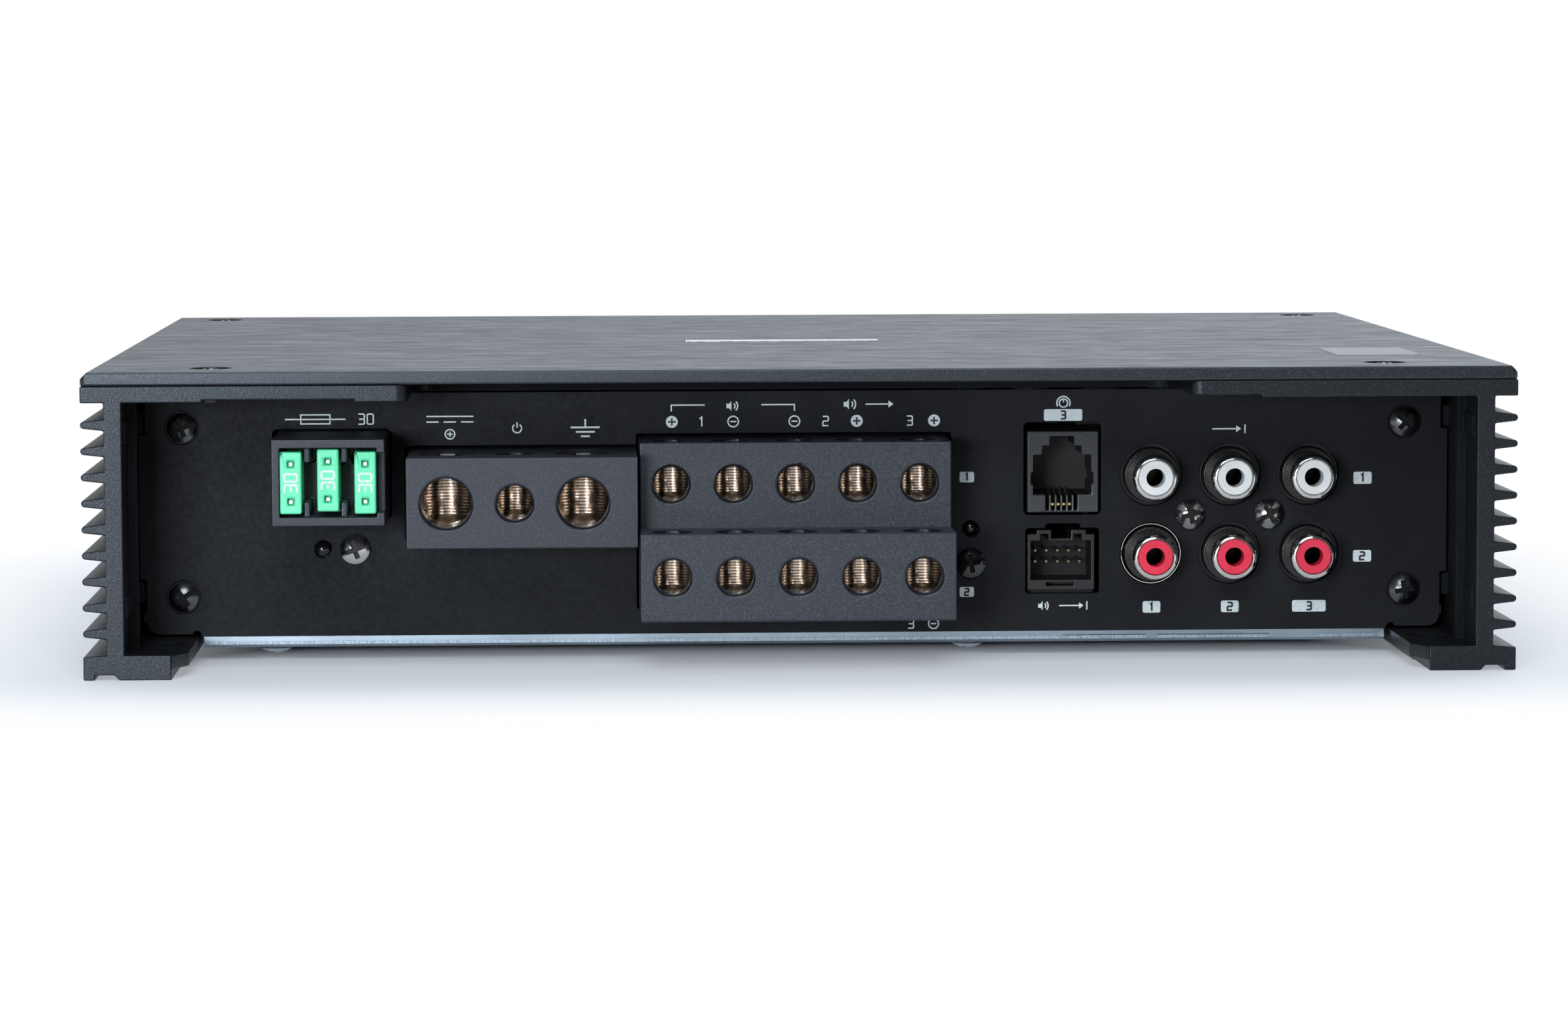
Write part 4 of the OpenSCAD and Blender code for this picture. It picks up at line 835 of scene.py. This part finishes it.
def print_input_signs(pale):
    """Signs for the remote jack, the line inputs and the high level input."""
    pale.ring(*REMOTE_AT, REMOTE_R, INK_LINE)
    pale.bar(REMOTE_AT[0], *REMOTE_BAR, INK_LINE)
    pale.line(arc(*REMOTE_AT, REMOTE_SCALE_R, *REMOTE_SCALE, REMOTE_STEPS), INK_LINE)
    pale.arrow(*LINE_IN_ARROW, INK_LINE)
    pale.bar(*LINE_IN_BAR, INK_LINE)
    pale.speaker(*LEVEL_IN_SPEAKER, INK_LINE)
    pale.arrow(*LEVEL_IN_ARROW, INK_LINE)
    pale.bar(*LEVEL_IN_BAR, INK_LINE)


def print_tags(pale, dark):
    """Dark numbers on pale tags."""
    for text, x0, x1, z0, z1 in TAGS:
        pale.tag(x0, x1, z0, z1, TAG_CORNER)
        dark.number(text, (x0 + x1) / 2, (z0 + z1) / 2, (z1 - z0) * TAG_DIGIT, TAG_LINE)


def print_panel():
    pale = Print("panel_print", print_ink("ink_pale", PALE_INK), "amplifier",
                 on_panel(INK_THICK / 2), INK_THICK)
    dark = Print("panel_print_dark", print_ink("ink_dark", DARK_INK), "amplifier",
                 on_panel(INK_THICK * 1.25), INK_THICK / 2)
    print_fuse_sign(pale)
    print_supply_signs(pale)
    print_speaker_signs(pale, dark)
    print_input_signs(pale)
    print_tags(pale, dark)
    pale.make()
    dark.make()


def print_fuses():
    ink = print_ink("ink_white", WHITE_INK)
    for i, fuse in enumerate(FUSES, 1):
        low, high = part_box(fuse)
        mark = Print(f"fuse_print_{i}", ink, fuse, on_front(low[1] - INK_THICK / 2 * MM), INK_THICK)
        mark.number(FUSE_RATING, (low[0] + high[0]) / 2 / MM, (low[2] + high[2]) / 2 / MM,
                    FUSE_FIGURE, FUSE_FIGURE_LINE, FUSE_FIGURE_TURN)
        mark.make()


# label on the lid and metal points in the fuses

LABEL_FOIL = (0.4, 0.36, 0.38)
LABEL_X = (98.4, 113.8)
LABEL_Y = (-68, -43.5)
LABEL_CORNER = 0.8
POINT_NICKEL = (0.5, 0.5, 0.49)
POINT_Z = 3.3
POINT_RINGS = ((0.45, 0.3), (0.57, 0.42), (1.2, 0.42))
SQUARE = ((-1, -1), (1, -1), (1, 1), (-1, 1))


def stick_label():
    """Blank foil label on the lid."""
    foil = bright_metal("label_foil", LABEL_FOIL, 0.5, EVEN)
    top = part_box("lid")[1][2]
    label = Print("lid_label", foil, "lid", on_top(top + INK_THICK * MM), INK_THICK * 2)
    label.tag(*LABEL_X, *LABEL_Y, LABEL_CORNER)
    label.make()


def point_mesh(x, y, z, first):
    """Points and faces of one square peg: its rings are pairs of a depth and a half width."""
    points = [(x + a * half * MM, y + deep * MM, z + b * half * MM)
              for deep, half in POINT_RINGS for a, b in SQUARE]
    sides = len(SQUARE)
    rings = [[first + sides * k + n for n in range(sides)] for k in range(len(POINT_RINGS))]
    faces = [rings[0], rings[-1][::-1]]
    for upper, lower in zip(rings, rings[1:]):
        faces += [(upper[n], lower[n], lower[(n + 1) % sides], upper[(n + 1) % sides])
                  for n in range(sides)]
    return points, faces


def add_test_points():
    """Metal points in the two test holes of each fuse."""
    metal = bright_metal("point_nickel", POINT_NICKEL, 0.25)
    for i, fuse in enumerate(FUSES, 1):
        low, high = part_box(fuse)
        x, z = (low[0] + high[0]) / 2, (low[2] + high[2]) / 2
        points, faces = [], []
        for side in (-1, 1):
            more_points, more_faces = point_mesh(x, low[1], z + side * POINT_Z * MM, len(points))
            points += more_points
            faces += more_faces
        piece = add_mesh(f"fuse_points_{i}", points, faces)
        piece.data.materials.append(metal.material)
        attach(piece, fuse)


# wound rings and capacitor tops inside

COPPER = (0.72, 0.3, 0.12)
CORE_GREEN = (0.02, 0.05, 0.035)
RINGS = {
    "power_transformer": {"section": 13, "turns": 58, "wire_r": 0.5},
    "input_choke": {"section": 9, "turns": 30, "wire_r": 0.65},
}
RING_CORNER = 3.0
WIRE_SIDES = 8
CORNER_STEPS = 5
CORE_STEPS = 64

CAN_ALUMINIUM = (0.7, 0.71, 0.72)
CAN_X = (-20, 0, 20)
CAN_Y = (-20, 2)
CAN_TOP = ((1.2, 0.02), (1.5, 0.16), (5.6, 0.16), (6.2, 0.02), (6.5, 0.02), (6.8, 0.3),
           (7.2, 0.3), (7.5, 0.02))
LATHE_STEPS = 40


def around(angle):
    return Vector((math.cos(angle), math.sin(angle), 0))


def round_steps(count):
    """Angles of a full turn in even steps."""
    return [math.tau * n / count for n in range(count)]


def section_loop(half_w, half_h, r):
    """Points of a rounded rectangle and the way out of it at each point."""
    corners = ((half_w - r, half_h - r, 0), (r - half_w, half_h - r, 90),
               (r - half_w, r - half_h, 180), (half_w - r, r - half_h, 270))
    loop = []
    for u, v, start in corners:
        for i in range(CORNER_STEPS):
            turn = math.radians(start + 90 * i / (CORNER_STEPS - 1))
            out_u, out_v = math.cos(turn), math.sin(turn)
            loop.append((u + r * out_u, v + r * out_v, out_u, out_v))
    return loop


def loop_faces(count, sides):
    """Quads of a closed tube with a number of rings of a number of points."""
    return [(i * sides + k, i * sides + (k + 1) % sides,
             (i + 1) % count * sides + (k + 1) % sides, (i + 1) % count * sides + k)
            for i in range(count) for k in range(sides)]


def winding_points(centre, mid, loop, turns, wire_r):
    """Points of one unbroken wire that runs along a loop, once for each turn, around a ring."""
    path, outs = [], []
    for k in range(turns * len(loop)):
        u, v, out_u, out_v = loop[k % len(loop)]
        way = around(math.tau * k / len(loop) / turns)
        path.append(centre + way * (mid + u) + Vector((0, 0, v)))
        outs.append(way * out_u + Vector((0, 0, out_v)))
    points = []
    for k, (at, out) in enumerate(zip(path, outs)):
        along = (path[(k + 1) % len(path)] - path[k - 1]).normalized()
        side = along.cross(out).normalized()
        lift = side.cross(along)
        points += [(at + (lift * math.cos(t) + side * math.sin(t)) * wire_r) * MM
                   for t in round_steps(WIRE_SIDES)]
    return points


def core_points(centre, mid, loop):
    """Points of a ring with a loop as its section."""
    return [(centre + around(angle) * (mid + u) + Vector((0, 0, v))) * MM
            for angle in round_steps(CORE_STEPS) for u, v, *_ in loop]


def wind_ring(node, wire, coating, section, turns, wire_r):
    """A coated ring core and its winding, in the space of a CAD ring."""
    low, high = (Vector(c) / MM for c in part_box(node))
    centre = (low + high) / 2
    half_h = (high.z - low.z) / 2
    mid = (high.x - low.x) / 2 - section / 2
    wire_loop, core_loop = (section_loop(section / 2 - inset, half_h - inset, RING_CORNER - inset)
                            for inset in (wire_r, 2 * wire_r))
    winding = add_mesh(f"{node}_winding", winding_points(centre, mid, wire_loop, turns, wire_r),
                       loop_faces(turns * len(wire_loop), WIRE_SIDES))
    core = add_mesh(f"{node}_core", core_points(centre, mid, core_loop),
                    loop_faces(CORE_STEPS, len(core_loop)))
    for piece, paint in ((winding, wire), (core, coating)):
        piece.data.materials.append(paint.material)
        piece.data.shade_smooth()
        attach(piece, "amplifier")
    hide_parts(node)


def wind_rings():
    wire = bright_metal("enamelled_copper", COPPER, 0.24, EVEN)
    wire.set("Coat Weight", 0.5)
    coating = moulded("core_coating", CORE_GREEN, 0.45, grain_mm=0.03, fleck=1.5)
    for node, sizes in RINGS.items():
        dress(wire, node)
        wind_ring(node, wire, coating, **sizes)


def can_mesh(x, y, top, first):
    """Points and faces of one lathed top: its profile is pairs of a radius and a lift."""
    points = [((x + r * math.cos(t)) * MM, (y + r * math.sin(t)) * MM, (top + lift) * MM)
              for r, lift in CAN_TOP for t in round_steps(LATHE_STEPS)]
    faces = [[first + n for n in range(LATHE_STEPS)]]
    for ring in range(len(CAN_TOP) - 1):
        a, b = first + ring * LATHE_STEPS, first + (ring + 1) * LATHE_STEPS
        faces += [(a + n, b + n, b + (n + 1) % LATHE_STEPS, a + (n + 1) % LATHE_STEPS)
                  for n in range(LATHE_STEPS)]
    return points, faces


def cap_cans():
    """Pressed aluminium tops in the shrunk sleeves of the reservoir capacitors."""
    metal = bright_metal("can_aluminium", CAN_ALUMINIUM, 0.3, EVEN)
    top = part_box("reservoir_capacitors")[1][2] / MM
    points, faces = [], []
    for x in CAN_X:
        for y in CAN_Y:
            more_points, more_faces = can_mesh(x, y, top, len(points))
            points += more_points
            faces += more_faces
    caps = add_mesh("capacitor_tops", points, faces)
    caps.data.materials.append(metal.material)
    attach(caps, "amplifier")


# floor, world and lamps, in metres

LIGHT_TINT = (0.88, 0.95, 1.0)
FLOOR_REACH = 30.0
FLOOR_PALE = (0.6, 0.62, 0.66)
FLOOR_DULL = (0.45, 0.465, 0.49)
FLOOR_GLOW = (0.9, 0.94, 1.0)
FLOOR_LIFT = 0.37
FLOOR_MIRROR_Y = (-0.5, -0.3)
# half sizes of the place under the object where the floor's glow is left out, as painted shade
LIFT_HALF = (("X", 0.125), ("Y", 0.085))
LIFT_SOFT = 0.03
FADE_HALF = (("X", 0.11), ("Y", 0.095))
FADE_REACH = (0.01, 0.08)
WORLD_RAMPS = (
    ("Y", 0.0, 0.4, 0.05, 1.0),
    ("X", -0.3, 0.35, 0.6, 1.25),
    ("Z", 0.7, 1.0, 0.05, 0.9),
)
LAMPS = (
    ("left_box", (-0.34, -0.93, 0.09), (-0.14, -0.1, 0.03), 0.92, 0.3, 0.16, 80),
    ("front_box", (-0.08, -0.87, 0.6), (0, -0.08, 0.03), 4.0, 0.5, 0.4, 180),
    ("top_box", (0, 0.45, 1.1), (0, 0, 0), 3, 1.2, 0.8, 180),
)


def floor_lift(paint, spread):
    """Glow of the floor, which sinks to nothing under the object, as painted shade there beside the
    shadow that the lamps cast.
    """
    under = [paint.span(spread[axis], half - LIFT_SOFT, half) for axis, half in LIFT_HALF]
    return paint.sum("MULTIPLY", paint.sum("MAXIMUM", *under), FLOOR_LIFT)


def floor_fade(paint, spread):
    """A share of plain white that grows with the way from the object."""
    outside = [paint.sum("MAXIMUM", paint.sum("SUBTRACT", spread[axis], half), 0)
               for axis, half in FADE_HALF]
    squares = [paint.sum("MULTIPLY", o, o) for o in outside]
    away = paint.sum("POWER", paint.sum("ADD", *squares), 0.5)
    fade = paint.node("ShaderNodeMapRange", Value=away)
    fade.interpolation_type = "SMOOTHSTEP"
    fade.inputs["From Min"].default_value = FADE_REACH[0]
    fade.inputs["From Max"].default_value = FADE_REACH[1]
    return fade.outputs["Result"]


def floor_paint():
    """Pale floor that keeps the shadow by the object and fades to white away from it."""
    paint = Paint("floor_white", FLOOR_PALE, 0.8, Specular_IOR_Level=0.05)
    path = paint.node("ShaderNodeLightPath").outputs
    place = paint.node("ShaderNodeTexCoord").outputs["Object"]
    coords = paint.node("ShaderNodeSeparateXYZ", Vector=place).outputs
    spread = {axis: paint.sum("ABSOLUTE", coords[axis]) for axis in "XY"}
    mirrored = paint.sum("MULTIPLY", path["Is Glossy Ray"],
                         paint.span(coords["Y"], *FLOOR_MIRROR_Y))
    seen = paint.sum("MAXIMUM", path["Is Camera Ray"], mirrored)
    paint.colour(paint.mix(seen, FLOOR_DULL, FLOOR_PALE))
    paint.set("Emission Color", (*FLOOR_GLOW, 1))
    paint.feed(paint.shader.inputs["Emission Strength"],
               paint.sum("MULTIPLY", seen, floor_lift(paint, spread)))
    white = paint.node("ShaderNodeEmission")
    blend = paint.node("ShaderNodeMixShader")
    paint.feed(blend.inputs[0], paint.sum("MULTIPLY", floor_fade(paint, spread), seen))
    paint.feed(blend.inputs[1], paint.shader.outputs[0])
    paint.feed(blend.inputs[2], white.outputs[0])
    paint.feed(paint.tree.nodes["Material Output"].inputs["Surface"], blend.outputs[0])
    return paint


def make_floor():
    floor = add_mesh("floor", [(x * FLOOR_REACH, y * FLOOR_REACH, 0) for x, y in SQUARE],
                     [(0, 1, 2, 3)])
    floor.data.materials.append(floor_paint().material)


def join(tree, operation, first, second):
    made = tree.nodes.new("ShaderNodeMath")
    made.operation = operation
    tree.links.new(first, made.inputs[0])
    tree.links.new(second, made.inputs[1])
    return made.outputs[0]


def world_light(tree):
    """Strength of the light from each way: behind by its side, or above."""
    way = tree.nodes.new("ShaderNodeSeparateXYZ")
    tree.links.new(tree.nodes.new("ShaderNodeTexCoord").outputs["Generated"], way.inputs[0])
    shares = []
    for axis, low, high, least, most in WORLD_RAMPS:
        ramp = tree.nodes.new("ShaderNodeMapRange")
        ramp.interpolation_type = "SMOOTHSTEP"
        tree.links.new(way.outputs[axis], ramp.inputs["Value"])
        for key, value in (("From Min", low), ("From Max", high),
                           ("To Min", least), ("To Max", most)):
            ramp.inputs[key].default_value = value
        shares.append(ramp.outputs[0])
    behind, sideways, above = shares
    return join(tree, "MAXIMUM", join(tree, "MULTIPLY", behind, sideways), above)


def make_world():
    """White backdrop for the camera, light from above and behind, a dark room in front."""
    world = bpy.data.worlds.new("studio")
    scene.world = world
    world.use_nodes = True
    tree = world.node_tree
    sky = tree.nodes["Background"]
    camera = tree.nodes.new("ShaderNodeLightPath").outputs["Is Camera Ray"]
    tree.links.new(join(tree, "MAXIMUM", camera, world_light(tree)), sky.inputs["Strength"])
    cast = tree.nodes.new("ShaderNodeMix")
    cast.data_type = "RGBA"
    tree.links.new(camera, cast.inputs["Factor"])
    cast.inputs[MIX_FIRST].default_value = (*LIGHT_TINT, 1)
    cast.inputs[MIX_SECOND].default_value = (1, 1, 1, 1)
    tree.links.new(cast.outputs[MIX_RESULT], sky.inputs["Color"])


def add_lamp(name, at, target, power, width, height, spread):
    data = bpy.data.lights.new(name, "AREA")
    data.shape = "RECTANGLE"
    data.size = width
    data.size_y = height
    data.energy = power
    data.color = LIGHT_TINT
    data.spread = math.radians(spread)
    lamp = add_object(name, data)
    lamp.location = at
    lamp.rotation_mode = "QUATERNION"
    lamp.rotation_quaternion = (Vector(target) - Vector(at)).to_track_quat("-Z", "Y")
    lamp.visible_camera = False


def make_lamps():
    for lamp in LAMPS:
        add_lamp(*lamp)


make_camera()
make_floor()
make_world()
make_lamps()
dress_body()
dress_terminals()
dress_jacks()
dress_inside()
round_all()
print_panel()
print_fuses()
stick_label()
add_test_points()
wind_rings()
cap_cans()
